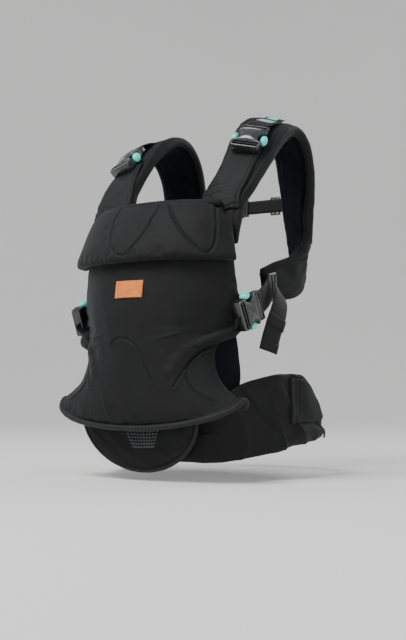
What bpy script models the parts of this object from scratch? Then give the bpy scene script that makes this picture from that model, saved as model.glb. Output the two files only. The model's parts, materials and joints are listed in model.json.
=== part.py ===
"""Soft baby carrier, shown as worn: metres, +Z up, -Y away from the wearer.

The origin is the centre of the waistband's loop, so the wearer's waist is around it.
Left and right mirror each other, apart from three things: the two buckles that close across
the middle, the left strap, which hangs a little lower, and the vent, a little off the middle.
"""

from math import asin, cos, pi, radians, sin

import bmesh
import bpy
from mathutils import Matrix, Vector

# Driving dimensions, in metres
TOUCH_GAP = 0.0004  # between pieces that rest on each other
PANEL_THICK = 0.008
PANEL_TURN = radians(75)  # how far the panel's sides curl back
LIP_HALF_WIDTH = 0.174
PIPING_RADIUS = 0.0045
COLLAR_THICK = 0.016
COLLAR_GAP = 0.003
COLLAR_HINGE = Vector((0, -0.072, 0.289))
STRAP_THICK = 0.020
SLEEVE_THICK = 0.005
SLEEVE_LIFT = 0.0016  # off the strap, whose face is a little twisted
SLEEVE_SHARE = 0.72  # of the strap's width
SLEEVE_RINGS = 8  # how far the sleeve runs up the strap, in quarters of a station
BELT_THICK = 0.014
BELT_WEBBING = 0.038  # width of the wide webbing
CHEST_WEBBING = 0.025  # width of the chest strap's webbing
TAIL_WEBBING = 0.034  # width of the side straps' loose ends
WEBBING_THICK = 0.002
CRESCENT_TOP = Vector((0, -0.117, -0.050))  # middle of the line between the half round's ends
CRESCENT_HALF = 0.106
CRESCENT_DROP = 0.081
VENT_SHIFT = 0.008  # the vent sits a little off the middle
SHOULDER_BUCKLE = Vector((0.1243, 0.0185, 0.3965))
SIDE_BUCKLE = Vector((0.1615, -0.046, 0.113))
SIDE_ADJUSTER = Vector((0.1505, 0.046, 0.157))
WAIST_BUCKLE = Vector((0, 0.217, -0.045))
CHEST_BUCKLE = Vector((-0.022, 0.2200, 0.320))

# The panel's outline: height, half width, how far out its middle and its edges stand
PANEL_ROWS = (
    (0.285, 0.118, -0.080, -0.045),
    (0.250, 0.130, -0.104, -0.054),
    (0.205, 0.141, -0.124, -0.054),
    (0.150, 0.147, -0.135, -0.050),
    (0.108, 0.149, -0.140, -0.043),
    (0.084, 0.143, -0.141, -0.048),
    (0.062, 0.127, -0.142, -0.074),
    (0.036, 0.122, -0.143, -0.080),
    (0.012, 0.128, -0.143, -0.082),
    (-0.004, 0.146, -0.142, -0.084),
    (-0.014, 0.168, -0.140, -0.086),
)
LIP_SAG = 0.043  # how much lower the panel's last row hangs in the middle
LIP_START = 0.6  # how far down the panel starts to flare out to the lip
LIP_TURN = radians(86)
PATCH_THICK = 0.0018
PATCH_HALF_SHARE = 0.132  # of the panel's half width
PATCH_TOP_SHARE, PATCH_BOTTOM_SHARE = 0.279, 0.336  # of the way down the panel

# The right strap's centre line, the way its outer face looks, and its width
STRAP_STATIONS = (
    ((0.112, -0.030, 0.291), (0.00, -0.86, 0.50), 0.064),
    ((0.118, -0.010, 0.325), (0.10, -0.84, 0.54), 0.078),
    ((0.119, 0.022, 0.366), (0.22, -0.73, 0.64), 0.086),
    ((0.118, 0.062, 0.410), (0.29, -0.50, 0.82), 0.090),
    ((0.116, 0.105, 0.434), (0.30, -0.05, 0.95), 0.090),
    ((0.117, 0.144, 0.430), (0.30, 0.42, 0.85), 0.088),
    ((0.118, 0.172, 0.398), (0.28, 0.80, 0.50), 0.086),
    ((0.118, 0.185, 0.348), (0.32, 0.94, 0.12), 0.083),
    ((0.118, 0.190, 0.285), (0.50, 0.86, 0.00), 0.080),
    ((0.126, 0.184, 0.232), (0.66, 0.74, -0.08), 0.080),
    ((0.140, 0.158, 0.198), (0.88, 0.45, -0.12), 0.080),
    ((0.143, 0.124, 0.180), (0.98, 0.18, -0.08), 0.074),
    ((0.138, 0.080, 0.169), (0.99, -0.05, 0.00), 0.066),
    ((0.132, 0.040, 0.160), (0.99, -0.10, 0.00), 0.054),
)
STRAP_ROOT = 0.291  # height of the straps' lower front ends
LEFT_DROOP = 0.10  # how much less the left strap rises above its root

# The right wing of the waistband: plan point of its outer face, bottom and top height
WING_STATIONS = (
    ((0.101, -0.0850), -0.122, -0.030),
    ((0.126, -0.0710), -0.121, -0.018),
    ((0.150, -0.0400), -0.117, 0.003),
    ((0.172, 0.0050), -0.110, 0.015),
    ((0.186, 0.0500), -0.101, 0.018),
    ((0.190, 0.0850), -0.097, 0.012),
    ((0.189, 0.1150), -0.092, -0.018),
    ((0.184, 0.1450), -0.086, -0.050),
)

COLOURS = {
    "shell": ((0.020, 0.021, 0.023), 0.85, 0.0),
    "lining": ((0.025, 0.028, 0.036), 0.90, 0.0),
    "webbing": ((0.018, 0.018, 0.020), 0.75, 0.0),
    "piping": ((0.024, 0.025, 0.027), 0.75, 0.0),
    "leather": ((0.55, 0.20, 0.07), 0.55, 0.0),
    "mesh": ((0.050, 0.052, 0.058), 0.80, 0.0),
    "buckle": ((0.015, 0.015, 0.017), 0.32, 0.0),
    "button": ((0.08, 0.62, 0.58), 0.35, 0.0),
}


def clear_scene():
    for obj in list(bpy.data.objects):
        bpy.data.objects.remove(obj, do_unlink=True)


def material(slot, name):
    colour, roughness, metallic = COLOURS[slot]
    made = bpy.data.materials.new(name)
    made.use_nodes = True
    shader = made.node_tree.nodes["Principled BSDF"]
    shader.inputs["Base Color"].default_value = (*colour, 1)
    shader.inputs["Roughness"].default_value = roughness
    shader.inputs["Metallic"].default_value = metallic
    made.diffuse_color = (*colour, 1)
    return made


def add_object(name, bm, slot, smooth=True):
    """Turns a bmesh into a named object whose faces look outwards."""
    bmesh.ops.recalc_face_normals(bm, faces=bm.faces)
    if bm.calc_volume(signed=True) < 0:
        bmesh.ops.reverse_faces(bm, faces=bm.faces)
    mesh = bpy.data.meshes.new(name)
    bm.to_mesh(mesh)
    bm.free()
    if smooth:
        mesh.shade_smooth()
        mesh.set_sharp_from_angle(angle=radians(40))
    mesh.materials.append(material(slot, name))
    obj = bpy.data.objects.new(name, mesh)
    bpy.context.scene.collection.objects.link(obj)
    return obj


def smooth_path(points, steps):
    """A Catmull-Rom curve through the points, with this many steps between two of them."""
    points = [Vector(p) for p in points]
    ends = [2 * points[0] - points[1], *points, 2 * points[-1] - points[-2]]
    path = []
    for before, start, stop, after in zip(ends, ends[1:], ends[2:], ends[3:]):
        for step in range(steps):
            t = step / steps
            path.append(
                0.5 * (2 * start + (stop - before) * t
                       + (2 * before - 5 * start + 4 * stop - after) * t**2
                       + (3 * start - before - 3 * stop + after) * t**3)
            )
    path.append(points[-1])
    return path


def tangents(path):
    last = len(path) - 1
    return [(path[min(i + 1, last)] - path[max(i - 1, 0)]).normalized() for i in range(last + 1)]


def loft(name, rings, slot, smooth=True):
    """A closed body through rings of the same number of points."""
    bm = bmesh.new()
    rows = [[bm.verts.new(p) for p in ring] for ring in rings]
    count = len(rows[0])
    for row, following in zip(rows, rows[1:]):
        for i in range(count):
            j = (i + 1) % count
            bm.faces.new((row[i], row[j], following[j], following[i]))
    bm.faces.new(rows[0][::-1])
    bm.faces.new(rows[-1])
    return add_object(name, bm, slot, smooth)


def sheet_solid(name, front, back, slot):
    """A closed body between two grids of points of the same size."""
    bm = bmesh.new()
    faces = [[[bm.verts.new(p) for p in row] for row in grid] for grid in (front, back)]
    rows, columns = len(front), len(front[0])
    for grid in faces:
        for i in range(rows - 1):
            for j in range(columns - 1):
                bm.faces.new((grid[i][j], grid[i][j + 1], grid[i + 1][j + 1], grid[i + 1][j]))
    rim = [(0, j) for j in range(columns)]
    rim += [(i, columns - 1) for i in range(1, rows)]
    rim += [(rows - 1, j) for j in range(columns - 2, -1, -1)]
    rim += [(i, 0) for i in range(rows - 2, 0, -1)]
    for (i, j), (k, m) in zip(rim, rim[1:] + rim[:1]):
        bm.faces.new((faces[0][i][j], faces[0][k][m], faces[1][k][m], faces[1][i][j]))
    return add_object(name, bm, slot)


def band_rings(path, outward, widths, thick, offset=0.0, roundness=0.0):
    """Cross-sections of a flat band. outward gives its outer face's direction at each point.

    offset lifts the band off the path, and roundness is the share of its half width over
    which each edge rounds off.
    """
    rings = []
    for point, along, hint, width in zip(path, tangents(path), outward, widths):
        across = along.cross(hint).normalized()
        out = across.cross(along).normalized()
        half, deep = width / 2, thick / 2
        inset = half * roundness
        corners = [(half, 0.4), (half - 0.35 * inset, 0.8), (half - inset, 1), (inset - half, 1)]
        corners += [(0.35 * inset - half, 0.8), (-half, 0.4)]
        if not roundness:
            corners = [(half, 1), (-half, 1)]
        outline = corners + [(x, -y) for x, y in reversed(corners)]
        rings.append([point + across * x + out * (y * deep + offset) for x, y in outline])
    return rings


def side_points(points, side):
    """The points of the right side, or their mirror image for the left one (side -1)."""
    return [Vector((p[0] * side, p[1], p[2])) for p in points]


def blend_rows(rows, height_share):
    """Smoothly interpolated numbers of a table whose rows are evenly spaced in 0..1."""
    place = min(max(height_share, 0), 1) * (len(rows) - 1)
    index = min(int(place), len(rows) - 2)
    t = place - index
    before, after = rows[max(index - 1, 0)], rows[min(index + 2, len(rows) - 1)]
    start, stop = rows[index], rows[index + 1]
    return [
        0.5 * (2 * b + (c - a) * t + (2 * a - 5 * b + 4 * c - d) * t**2
               + (3 * b - a - 3 * c + d) * t**3)
        for a, b, c, d in zip(before, start, stop, after)
    ]


def lip_point(angle, inward=0.0, up=0.0):
    """A point of the seat's front lip: angle -90..90 degrees from the middle."""
    return Vector((
        (LIP_HALF_WIDTH - inward) * sin(angle),
        -0.085 - (0.055 - inward) * cos(angle),
        -0.022 - 0.043 * cos(angle) + up,
    ))


def panel_point(across, down, lift=0.0):
    """A point of the panel's outer face: across -1..1, down 0 (top)..1 (lip), lifted off it."""
    height, half, middle, edge = blend_rows(PANEL_ROWS, down)
    turn = across * PANEL_TURN
    rise = (cos(turn) - cos(PANEL_TURN)) / (1 - cos(PANEL_TURN))
    sag = LIP_SAG * rise * max(0, (down - LIP_START) / (1 - LIP_START)) ** 1.6
    point = Vector((half * sin(turn) / sin(PANEL_TURN), edge + (middle - edge) * rise, height - sag))
    flare = max(0, (down - LIP_START) / (1 - LIP_START)) ** 2
    point = point.lerp(lip_point(across * LIP_TURN, up=PIPING_RADIUS + 0.0025), flare)
    outward = Vector((sin(turn) * (edge - middle) / half * 1.4, -cos(turn), 0)).normalized()
    return point + outward * lift


def panel_grid(across_range, down_range, columns, rows, lift):
    """Rows of points on the panel's outer face, lifted by lift(across share, down share)."""
    grid = []
    for i in range(rows + 1):
        down = down_range[0] + (down_range[1] - down_range[0]) * i / rows
        grid.append([])
        for j in range(columns + 1):
            across = across_range[0] + (across_range[1] - across_range[0]) * j / columns
            grid[-1].append(panel_point(across, down, lift(across, i / rows)))
    return grid


def tube(name, points, radius, slot, cyclic=False):
    curve = bpy.data.curves.new(name, "CURVE")
    curve.dimensions = "3D"
    curve.bevel_depth = radius
    curve.bevel_resolution = 2
    curve.use_fill_caps = not cyclic
    spline = curve.splines.new("POLY")
    spline.points.add(len(points) - 1)
    for target, point in zip(spline.points, points):
        target.co = (*point, 1)
    spline.use_cyclic_u = cyclic
    curve.materials.append(material(slot, name))
    obj = bpy.data.objects.new(name, curve)
    bpy.context.scene.collection.objects.link(obj)
    return obj


def extruded(outline, low, high):
    """A bmesh prism over an (x, y) outline between two heights."""
    bm = bmesh.new()
    bottom = [bm.verts.new((x, y, low)) for x, y in outline]
    top = [bm.verts.new((x, y, high)) for x, y in outline]
    bm.faces.new(bottom[::-1])
    bm.faces.new(top)
    for i in range(len(outline)):
        j = (i + 1) % len(outline)
        bm.faces.new((bottom[i], bottom[j], top[j], top[i]))
    return bm


def cutter(name, bm, target, operation="DIFFERENCE"):
    """A hidden tool body that a Boolean on the target uses."""
    tool = add_object(name, bm, "buckle", smooth=False)
    tool.hide_render = True
    tool.display_type = "WIRE"
    cut = target.modifiers.new(name, "BOOLEAN")
    cut.operation = operation
    cut.solver = "EXACT"
    cut.object = tool
    return tool


def rectangle(x0, x1, y0, y1):
    return [(x0, y0), (x1, y0), (x1, y1), (x0, y1)]


def oval(x, y, rx, ry, sides=20):
    return [(x + rx * cos(2 * pi * i / sides), y + ry * sin(2 * pi * i / sides)) for i in range(sides)]


def set_origin(obj, point):
    """Moves a piece's origin onto its joint's axis and leaves the piece where it is."""
    obj.data.transform(Matrix.Translation(-Vector(point)))
    obj.location = point


def frame_at(centre, along, outward):
    """The matrix whose y runs along the webbing and whose z looks outwards."""
    y = Vector(along).normalized()
    x = y.cross(Vector(outward)).normalized()
    z = x.cross(y)
    turn = Matrix((x, y, z)).transposed().to_4x4()
    return Matrix.Translation(Vector(centre)) @ turn


def chamfered_block(outline, thick, edge):
    """A prism with its long edges chamfered top and bottom."""
    bm = extruded(outline, -thick / 2, thick / 2)
    rims = [e for e in bm.edges if abs(e.verts[0].co.z - e.verts[1].co.z) < 1e-6]
    bmesh.ops.bevel(bm, geom=rims, offset=edge, segments=2, affect="EDGES", profile=0.6)
    return bm


def side_release_buckle(prefix, width, matrix, buttons):
    """A side-release buckle: housing, plug and two side buttons, for webbing of this width.

    Locally the webbing runs along y, the plug leaves the housing towards +y and z looks
    outwards. buttons names the pieces at -x and +x.
    """
    k = width / BELT_WEBBING
    half, mouth, foot, thick = 0.027 * k, 0.014 * k, -0.027 * k, 0.0145 * k

    outline = [(-half * 0.86, foot), (half * 0.86, foot), (half * 0.93, foot * 0.45), (half, -0.002 * k)]
    outline += [(half, mouth * 0.55), (half * 0.9, mouth), (-half * 0.9, mouth), (-half, mouth * 0.55)]
    outline += [(-half, -0.002 * k), (-half * 0.93, foot * 0.45)]
    housing = add_object(f"{prefix}_housing", chamfered_block(outline, thick, 0.0022 * k), "buckle")
    notch_x, notch_y = half + 0.0005 * k, -0.001 * k
    slots = [
        extruded(rectangle(-0.0215 * k, 0.0215 * k, y * k, (y + 0.0042) * k), -thick, thick)
        for y in (-0.0243, -0.0172)
    ]
    notches = [
        extruded(oval(side * notch_x, notch_y, 0.0115 * k, 0.0115 * k), -thick, thick) for side in (-1, 1)
    ]
    pocket = extruded(rectangle(-0.0175 * k, 0.0175 * k, -0.0095 * k, mouth * 1.3), -0.0038 * k, 0.0038 * k)
    tools = [cutter(f"{prefix}_pocket_tool", pocket, housing)]
    tools += [cutter(f"{prefix}_slot_tool_{i}", bm, housing) for i, bm in enumerate(slots)]
    tools += [cutter(f"{prefix}_notch_tool_{i}", bm, housing) for i, bm in enumerate(notches)]

    root = mouth + TOUCH_GAP
    plug_outline = [(-0.0205 * k, root), (0.0205 * k, root), (0.024 * k, root + 0.004 * k)]
    plug_outline += [(0.0235 * k, 0.0295 * k), (-0.0235 * k, 0.0295 * k), (-0.024 * k, root + 0.004 * k)]
    plug = add_object(f"{prefix}_plug", chamfered_block(plug_outline, 0.012 * k, 0.0018 * k), "buckle")
    fork = [(-0.0135 * k, root + 0.003 * k), (-0.0135 * k, -0.005 * k), (-0.0115 * k, -0.0085 * k)]
    fork += [(-0.0090 * k, -0.005 * k), (-0.0085 * k, root), (-0.0035 * k, root), (-0.0030 * k, -0.006 * k)]
    fork += [(-x, y) for x, y in reversed(fork)]
    tools.append(cutter(f"{prefix}_fork_tool", extruded(fork, -0.0030 * k, 0.0030 * k), plug, "UNION"))
    slot = extruded(rectangle(-0.0195 * k, 0.0195 * k, 0.0220 * k, 0.0264 * k), -thick, thick)
    tools.append(cutter(f"{prefix}_web_tool", slot, plug))

    for side, name in zip((-1, 1), buttons):
        bm = bmesh.new()
        bmesh.ops.create_uvsphere(bm, u_segments=14, v_segments=8, radius=1)
        size = Matrix.Diagonal((0.0062 * k, 0.0094 * k, 0.0082 * k, 1))
        bmesh.ops.transform(bm, matrix=size, verts=bm.verts)
        button = add_object(name, bm, "button")
        button.matrix_world = matrix @ Matrix.Translation((side * (half - 0.0022 * k), notch_y, 0))
    for obj in (housing, plug, *tools):
        obj.matrix_world = matrix


def three_bar_slider(name, width, length, matrix):
    """A flat frame with two slots that webbing threads through."""
    half = width / 2 + 0.004
    outline = [(-half, -length / 2), (half, -length / 2), (half, length / 2), (-half, length / 2)]
    frame = add_object(name, chamfered_block(outline, 0.0046, 0.0014), "buckle")
    slot = (length - 0.0105) / 2
    tools = [
        cutter(
            f"{name}_slot_tool_{i}",
            extruded(rectangle(-width / 2 - 0.0006, width / 2 + 0.0006, y, y + slot), -0.01, 0.01),
            frame,
        )
        for i, y in enumerate((-length / 2 + 0.0035, 0.00175))
    ]
    for obj in (frame, *tools):
        obj.matrix_world = matrix


def webbing(name, points, outward, width, slot="webbing", thick=WEBBING_THICK, steps=3):
    """A flat strap through the points. outward holds its face's direction at each of them."""
    path = smooth_path(points, steps)
    faces = smooth_path(outward, steps)
    rings = band_rings(path, faces, [width] * len(path), thick)
    return loft(name, rings, slot, smooth=False)


def make_panel():
    """The panel that holds the baby, with the patch sewn on it."""
    outer = panel_grid((-1, 1), (0, 1), 16, 16, lambda across, down: 0)
    inner = panel_grid((-0.97, 0.97), (0, 1), 16, 16, lambda across, down: -PANEL_THICK)
    sheet_solid("front_panel", outer, inner, "shell")
    across, down = (-PATCH_HALF_SHARE, PATCH_HALF_SHARE), (PATCH_TOP_SHARE, PATCH_BOTTOM_SHARE)
    front = panel_grid(across, down, 4, 3, lambda across, down: TOUCH_GAP + PATCH_THICK)
    back = panel_grid(across, down, 4, 3, lambda across, down: TOUCH_GAP)
    sheet_solid("leather_patch", front, back, "leather")


def make_collar():
    """The head support, folded down over the panel's top, with a fuller lower edge."""
    def outer_lift(across, down):
        fullness = COLLAR_THICK + 0.005 * max(0, down - 0.6) / 0.4
        return COLLAR_GAP + fullness * (1 - 0.5 * across**4)

    outer = panel_grid((-1, 1), (0.005, 0.218), 18, 6, outer_lift)
    inner = panel_grid((-1, 1), (0.005, 0.218), 18, 6, lambda across, down: COLLAR_GAP)
    set_origin(sheet_solid("collar", outer, inner, "shell"), COLLAR_HINGE)


def make_seat():
    """The seat behind the lip, the lip's piping and the lining behind each leg opening."""
    steps, depth = 16, 4
    slab = []
    for lift in (0.004, -0.004):
        grid = []
        for i in range(depth + 1):
            share = i / depth
            grid.append([])
            for j in range(steps + 1):
                angle = radians(-82 + 164 * j / steps)
                drop = cos(angle)
                front = Vector((0.146 * sin(angle), -0.080 - 0.041 * drop, -0.016 - 0.040 * drop))
                back = Vector((0.108 * sin(angle), -0.078 - 0.004 * drop, 0.006))
                slope = (back - front).normalized()
                normal = Vector((0, -slope.z, slope.y)).normalized()
                grid[-1].append(front.lerp(back, share) + normal * lift)
        slab.append(grid)
    sheet_solid("seat_base", slab[0], slab[1], "lining")

    piping = [lip_point(radians(angle), inward=-0.001, up=-0.002) for angle in range(-90, 91, 6)]
    tube("seat_piping", piping, PIPING_RADIUS, "piping")

    for side, word in ((-1, "left"), (1, "right")):
        grids = []
        for lift in (0, -0.004):
            grid = []
            for i in range(5):
                height = -0.004 + 0.084 * i / 4
                front = Vector((0.1165 + lift, -0.0735, height))
                back = Vector((0.1350 + lift, -0.0300, height + 0.004))
                bow = Vector((0.005 * sin(pi * i / 4), 0, 0))
                grid.append(side_points([front, front.lerp(back, 0.5) + bow, back], side))
            grids.append(grid)
        sheet_solid(f"leg_gusset_{word}", grids[0], grids[1], "lining")

        route = [panel_point(across, down, 0.0075) for across, down in
                 ((0.74, 0.585), (0.84, 0.560), (0.92, 0.530), (0.98, 0.492))]
        path = smooth_path(side_points(route, side), 3)
        rings = []
        for i, (point, along) in enumerate(zip(path, tangents(path))):
            x = along.cross(Vector((0, 0, 1))).normalized()
            y = x.cross(along)
            radius = 0.0065 * (0.55 + 0.45 * sin(pi * min(1, (i + 0.6) / (len(path) - 1))))
            turns = [a * pi / 4 for a in range(8)]
            rings.append([point + (x * cos(turn) + y * sin(turn)) * radius for turn in turns])
        loft(f"leg_roll_{word}", rings, "shell")


def crescent_point(angle, share, depth):
    """A point of the waistband's half-round front, from its top edge (share 0) to its rim (1)."""
    drop = cos(angle)
    rim = Vector((CRESCENT_HALF * sin(angle), 0.013 * drop, -CRESCENT_DROP * drop))
    top = Vector((rim.x * 0.98, 0.004 * drop, -0.012 * drop))
    return CRESCENT_TOP + top.lerp(rim, share) + Vector((0, depth, 0))


def make_waist_front():
    """The half-round front of the waistband, its piping and vent, and the pad behind it."""
    angles = [radians(-80 + 160 * i / 20) for i in range(21)]
    grids = [
        [[crescent_point(angle, share / 4, depth) for angle in angles] for share in range(5)]
        for depth in (0, 0.009)
    ]
    sheet_solid("waist_panel", grids[0], grids[1], "shell")

    rim = [crescent_point(radians(angle), 1, 0.0045) for angle in range(-84, 85, 6)]
    rim = [p + (p - Vector((0, p.y, CRESCENT_TOP.z))).normalized() * 0.0042 for p in rim]
    tube("waist_piping", rim, 0.0036, "piping")

    vent = []
    for lift in (0.0018 + TOUCH_GAP, TOUCH_GAP):
        grid = []
        for i in range(4):
            half = 0.030 - 0.010 * i / 3
            across = [asin((VENT_SHIFT + half * (j - 2) / 2) / CRESCENT_HALF) for j in range(5)]
            grid.append([crescent_point(angle, 0.16 + 0.36 * i / 3, -lift) for angle in across])
        vent.append(grid)
    sheet_solid("mesh_vent", vent[0], vent[1], "mesh")

    half = 0.0915
    outline = [(-half, -0.030), (half, -0.030), (half, -0.105), (0.076, -0.120), (-0.076, -0.120)]
    outline += [(-half, -0.105)]
    bm = bmesh.new()
    front = [bm.verts.new((x, -0.0920, z)) for x, z in outline]
    back = [bm.verts.new((x, -0.0720, z)) for x, z in outline]
    bm.faces.new(front)
    bm.faces.new(back[::-1])
    for i in range(len(outline)):
        j = (i + 1) % len(outline)
        bm.faces.new((front[i], front[j], back[j], back[i]))
    rims = [e for e in bm.edges if e.verts[0].co.y < -0.08 and e.verts[1].co.y < -0.08]
    bmesh.ops.bevel(bm, geom=rims, offset=0.004, segments=2, affect="EDGES", profile=0.5)
    add_object("belly_pad", bm, "lining")


def wing_frame(share):
    """Outer plan point, outward direction, bottom and top height along the right wing."""
    rows = [(*plan, low, high) for plan, low, high in WING_STATIONS]
    here = blend_rows(rows, share)
    ahead, behind = blend_rows(rows, share + 0.02), blend_rows(rows, share - 0.02)
    along = Vector((ahead[0] - behind[0], ahead[1] - behind[1], 0)).normalized()
    return Vector((here[0], here[1], 0)), Vector((along.y, -along.x, 0)), here[2], here[3]


def make_wings():
    """The padded wings that close round the wearer's sides, and the flap at each end."""
    for side, word in ((-1, "left"), (1, "right")):
        rings = []
        for i in range(19):
            plan, out, low, high = wing_frame(i / 18)
            thick = BELT_THICK
            section = [(0, low + 0.006), (0, high - 0.006), (-0.0035, high), (0.0035 - thick, high)]
            section += [(-thick, high - 0.006), (-thick, low + 0.006), (0.0035 - thick, low), (-0.0035, low)]
            ring = [plan + out * depth + Vector((0, 0, height)) for depth, height in section]
            rings.append(side_points(ring, side))
        loft(f"belt_wing_{word}", rings, "shell")

        grids = []
        for lift in (0.0038, 0.0008):
            grid = []
            for i in range(7):
                plan, out, low, high = wing_frame(0.70 + 0.275 * i / 6)
                base, tip = low + 0.030 - 0.004 * i / 6, high - 0.009
                column = [plan + out * lift + Vector((0, 0, base + (tip - base) * j / 3)) for j in range(4)]
                grid.append(side_points(column, side))
            grids.append(grid)
        sheet_solid(f"belt_flap_{word}", grids[0], grids[1], "shell")


def settled(point, side):
    """A right-side point on its own side. The left strap sits a little lower than the right."""
    x, y, z = point
    if side < 0 and z > STRAP_ROOT:
        z -= LEFT_DROOP * (z - STRAP_ROOT)
    return Vector((x * side, y, z))


def strap_path(side, steps=2):
    """Centre line, outward directions and widths of one strap."""
    points = [settled(p, side) for p, _, _ in STRAP_STATIONS]
    faces = side_points([n for _, n, _ in STRAP_STATIONS], side)
    path, outward = smooth_path(points, steps), smooth_path(faces, steps)
    widths = [w.x for w in smooth_path([Vector((w, 0, 0)) for _, _, w in STRAP_STATIONS], steps)]
    return path, outward, widths


def make_straps():
    """The padded shoulder straps and the fabric band up the front of each."""
    for side, word in ((-1, "left"), (1, "right")):
        path, outward, widths = strap_path(side)
        loft(f"strap_{word}", band_rings(path, outward, widths, STRAP_THICK, roundness=0.3), "shell")
        path, outward, widths = (row[:SLEEVE_RINGS] for row in strap_path(side, steps=4))
        lift = STRAP_THICK / 2 + SLEEVE_LIFT + SLEEVE_THICK / 2
        band = [width * SLEEVE_SHARE for width in widths]
        sleeve = band_rings(path, outward, band, SLEEVE_THICK, offset=lift, roundness=0.12)
        loft(f"strap_sleeve_{word}", sleeve, "shell")


def buckle_axes(side):
    """The directions along the webbing and outwards, of the shoulder and side buckles."""
    rise = 0.740 * (1 if side > 0 else 1 - LEFT_DROOP)
    shoulder = (Vector((0, 0.673, rise)).normalized(), Vector((0.29 * side, -0.70, 0.65)))
    flank = (Vector((0.10 * side, 0.905, 0.415)), Vector((side, -0.10, 0)))
    return shoulder, flank


def make_side_hardware():
    """The shoulder and side buckles, with the webbing and the adjuster of each side."""
    for side, word in ((-1, "left"), (1, "right")):
        (along, out), (flank_along, flank_out) = buckle_axes(side)
        near, far = ("inner", "outer") if side > 0 else ("outer", "inner")
        centre = settled(SHOULDER_BUCKLE, side)
        names = [f"shoulder_{word}_button_{far}", f"shoulder_{word}_button_{near}"]
        side_release_buckle(f"shoulder_{word}", BELT_WEBBING, frame_at(centre, along, out), names[::-1])

        route, faces = [centre + along * 0.0322, centre + along * 0.0400], [out, out]
        path, outward, _ = strap_path(side)
        for point, face in list(zip(path, outward))[7:9]:
            out_here = Vector(face).normalized()
            lifted = point + out_here * (STRAP_THICK / 2 + 0.0025)
            route.append(Vector((centre.x, *lifted.yz)))
            faces.append(out_here)
        webbing(f"shoulder_{word}_tab", route, faces, 0.036)

        centre = side_points([SIDE_BUCKLE], side)[0]
        names = [f"side_{word}_button_lower", f"side_{word}_button_upper"]
        if side > 0:
            names.reverse()
        side_release_buckle(f"side_{word}", BELT_WEBBING, frame_at(centre, flank_along, flank_out), names)

        adjuster = side_points([SIDE_ADJUSTER], side)[0]
        adjuster_along = Vector((-0.10 * side, 0.93, 0.16)).normalized()
        adjuster_out = Vector((side, 0.08, 0))
        seat = frame_at(adjuster, adjuster_along, adjuster_out)
        three_bar_slider(f"side_{word}_adjuster", BELT_WEBBING, 0.026, seat)
        plug_end = centre + flank_along * 0.0330
        web_end = adjuster - adjuster_along * 0.0205
        middle = plug_end.lerp(web_end, 0.5) + flank_out * 0.002
        route, faces = [plug_end, middle, web_end], [flank_out, flank_out, adjuster_out]
        webbing(f"side_{word}_web", route, faces, BELT_WEBBING)

        top = adjuster + adjuster_out * 0.0080 + Vector((0, 0, -0.002))
        steps = ((0, 0, 0), (0.0165, -0.016, -0.018), (0.0230, -0.036, -0.045), (0.0220, -0.052, -0.074),
                 (0.0180, -0.060, -0.104))
        drop = [top + Vector((x * side, y, z)) for x, y, z in steps]
        turns = ((0.99, 0.02, 0), (0.95, -0.25, 0), (0.91, -0.40, 0), (0.90, -0.42, 0), (0.90, -0.42, 0))
        set_origin(webbing(f"side_{word}_tail", drop, side_points(turns, side), TAIL_WEBBING), top)


def make_waist_closure():
    """The waistband's webbing and buckle, behind the wearer."""
    matrix = frame_at(WAIST_BUCKLE, (1, 0, 0), (0, 1, 0))
    side_release_buckle("waist", BELT_WEBBING, matrix, ["waist_button_lower", "waist_button_upper"])
    plan, _, _, _ = wing_frame(1.0)
    for side, word, reach in ((-1, "left", 0.0280), (1, "right", 0.0302)):
        route = [(plan.x - 0.0085, plan.y + 0.0035, -0.066), (0.158, 0.178, -0.058), (0.112, 0.203, -0.049),
                 (0.065, 0.215, -0.045), (reach, 0.217, -0.045)]
        faces = [(0.97, 0.22, 0), (0.72, 0.69, 0), (0.42, 0.91, 0), (0.12, 0.99, 0), (0, 1, 0)]
        webbing(f"waist_web_{word}", side_points(route, side), side_points(faces, side), BELT_WEBBING)


def make_chest_strap():
    """The strap that joins the shoulder straps across the wearer's back, and its buckle."""
    matrix = frame_at(CHEST_BUCKLE, (1, 0, 0), (0, 1, 0))
    side_release_buckle("chest", CHEST_WEBBING, matrix, ["chest_button_lower", "chest_button_upper"])
    scale = CHEST_WEBBING / BELT_WEBBING
    for side, word in ((-1, "left"), (1, "right")):
        y, z = CHEST_BUCKLE.y, CHEST_BUCKLE.z
        slider = Vector((0.052 * side, y + 0.0040, z))
        three_bar_slider(f"chest_slider_{word}", CHEST_WEBBING, 0.020, frame_at(slider, (1, 0, 0), (0, 1, 0)))
        end = CHEST_BUCKLE.x + side * (0.0302 if side > 0 else 0.0280) * scale
        route = [(0.100 * side, y, z), (0.070 * side, y, z), (end, y, z)]
        web = webbing(f"chest_web_{word}", route, [(0, 1, 0)] * 3, CHEST_WEBBING, steps=1)
        set_origin(web, CHEST_BUCKLE)


def main():
    clear_scene()
    make_panel()
    make_collar()
    make_seat()
    make_waist_front()
    make_wings()
    make_straps()
    make_side_hardware()
    make_waist_closure()
    make_chest_strap()


main()
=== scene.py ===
"""The looks of the soft baby carrier: its fabric, padding, webbing and trim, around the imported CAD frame.

Every soft piece is a padded sheet: a surface given by a formula, thickened, blown up by a short
cloth simulation where it is stuffed, and then sewn: seams are grooves worked into the result.
"""

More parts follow.
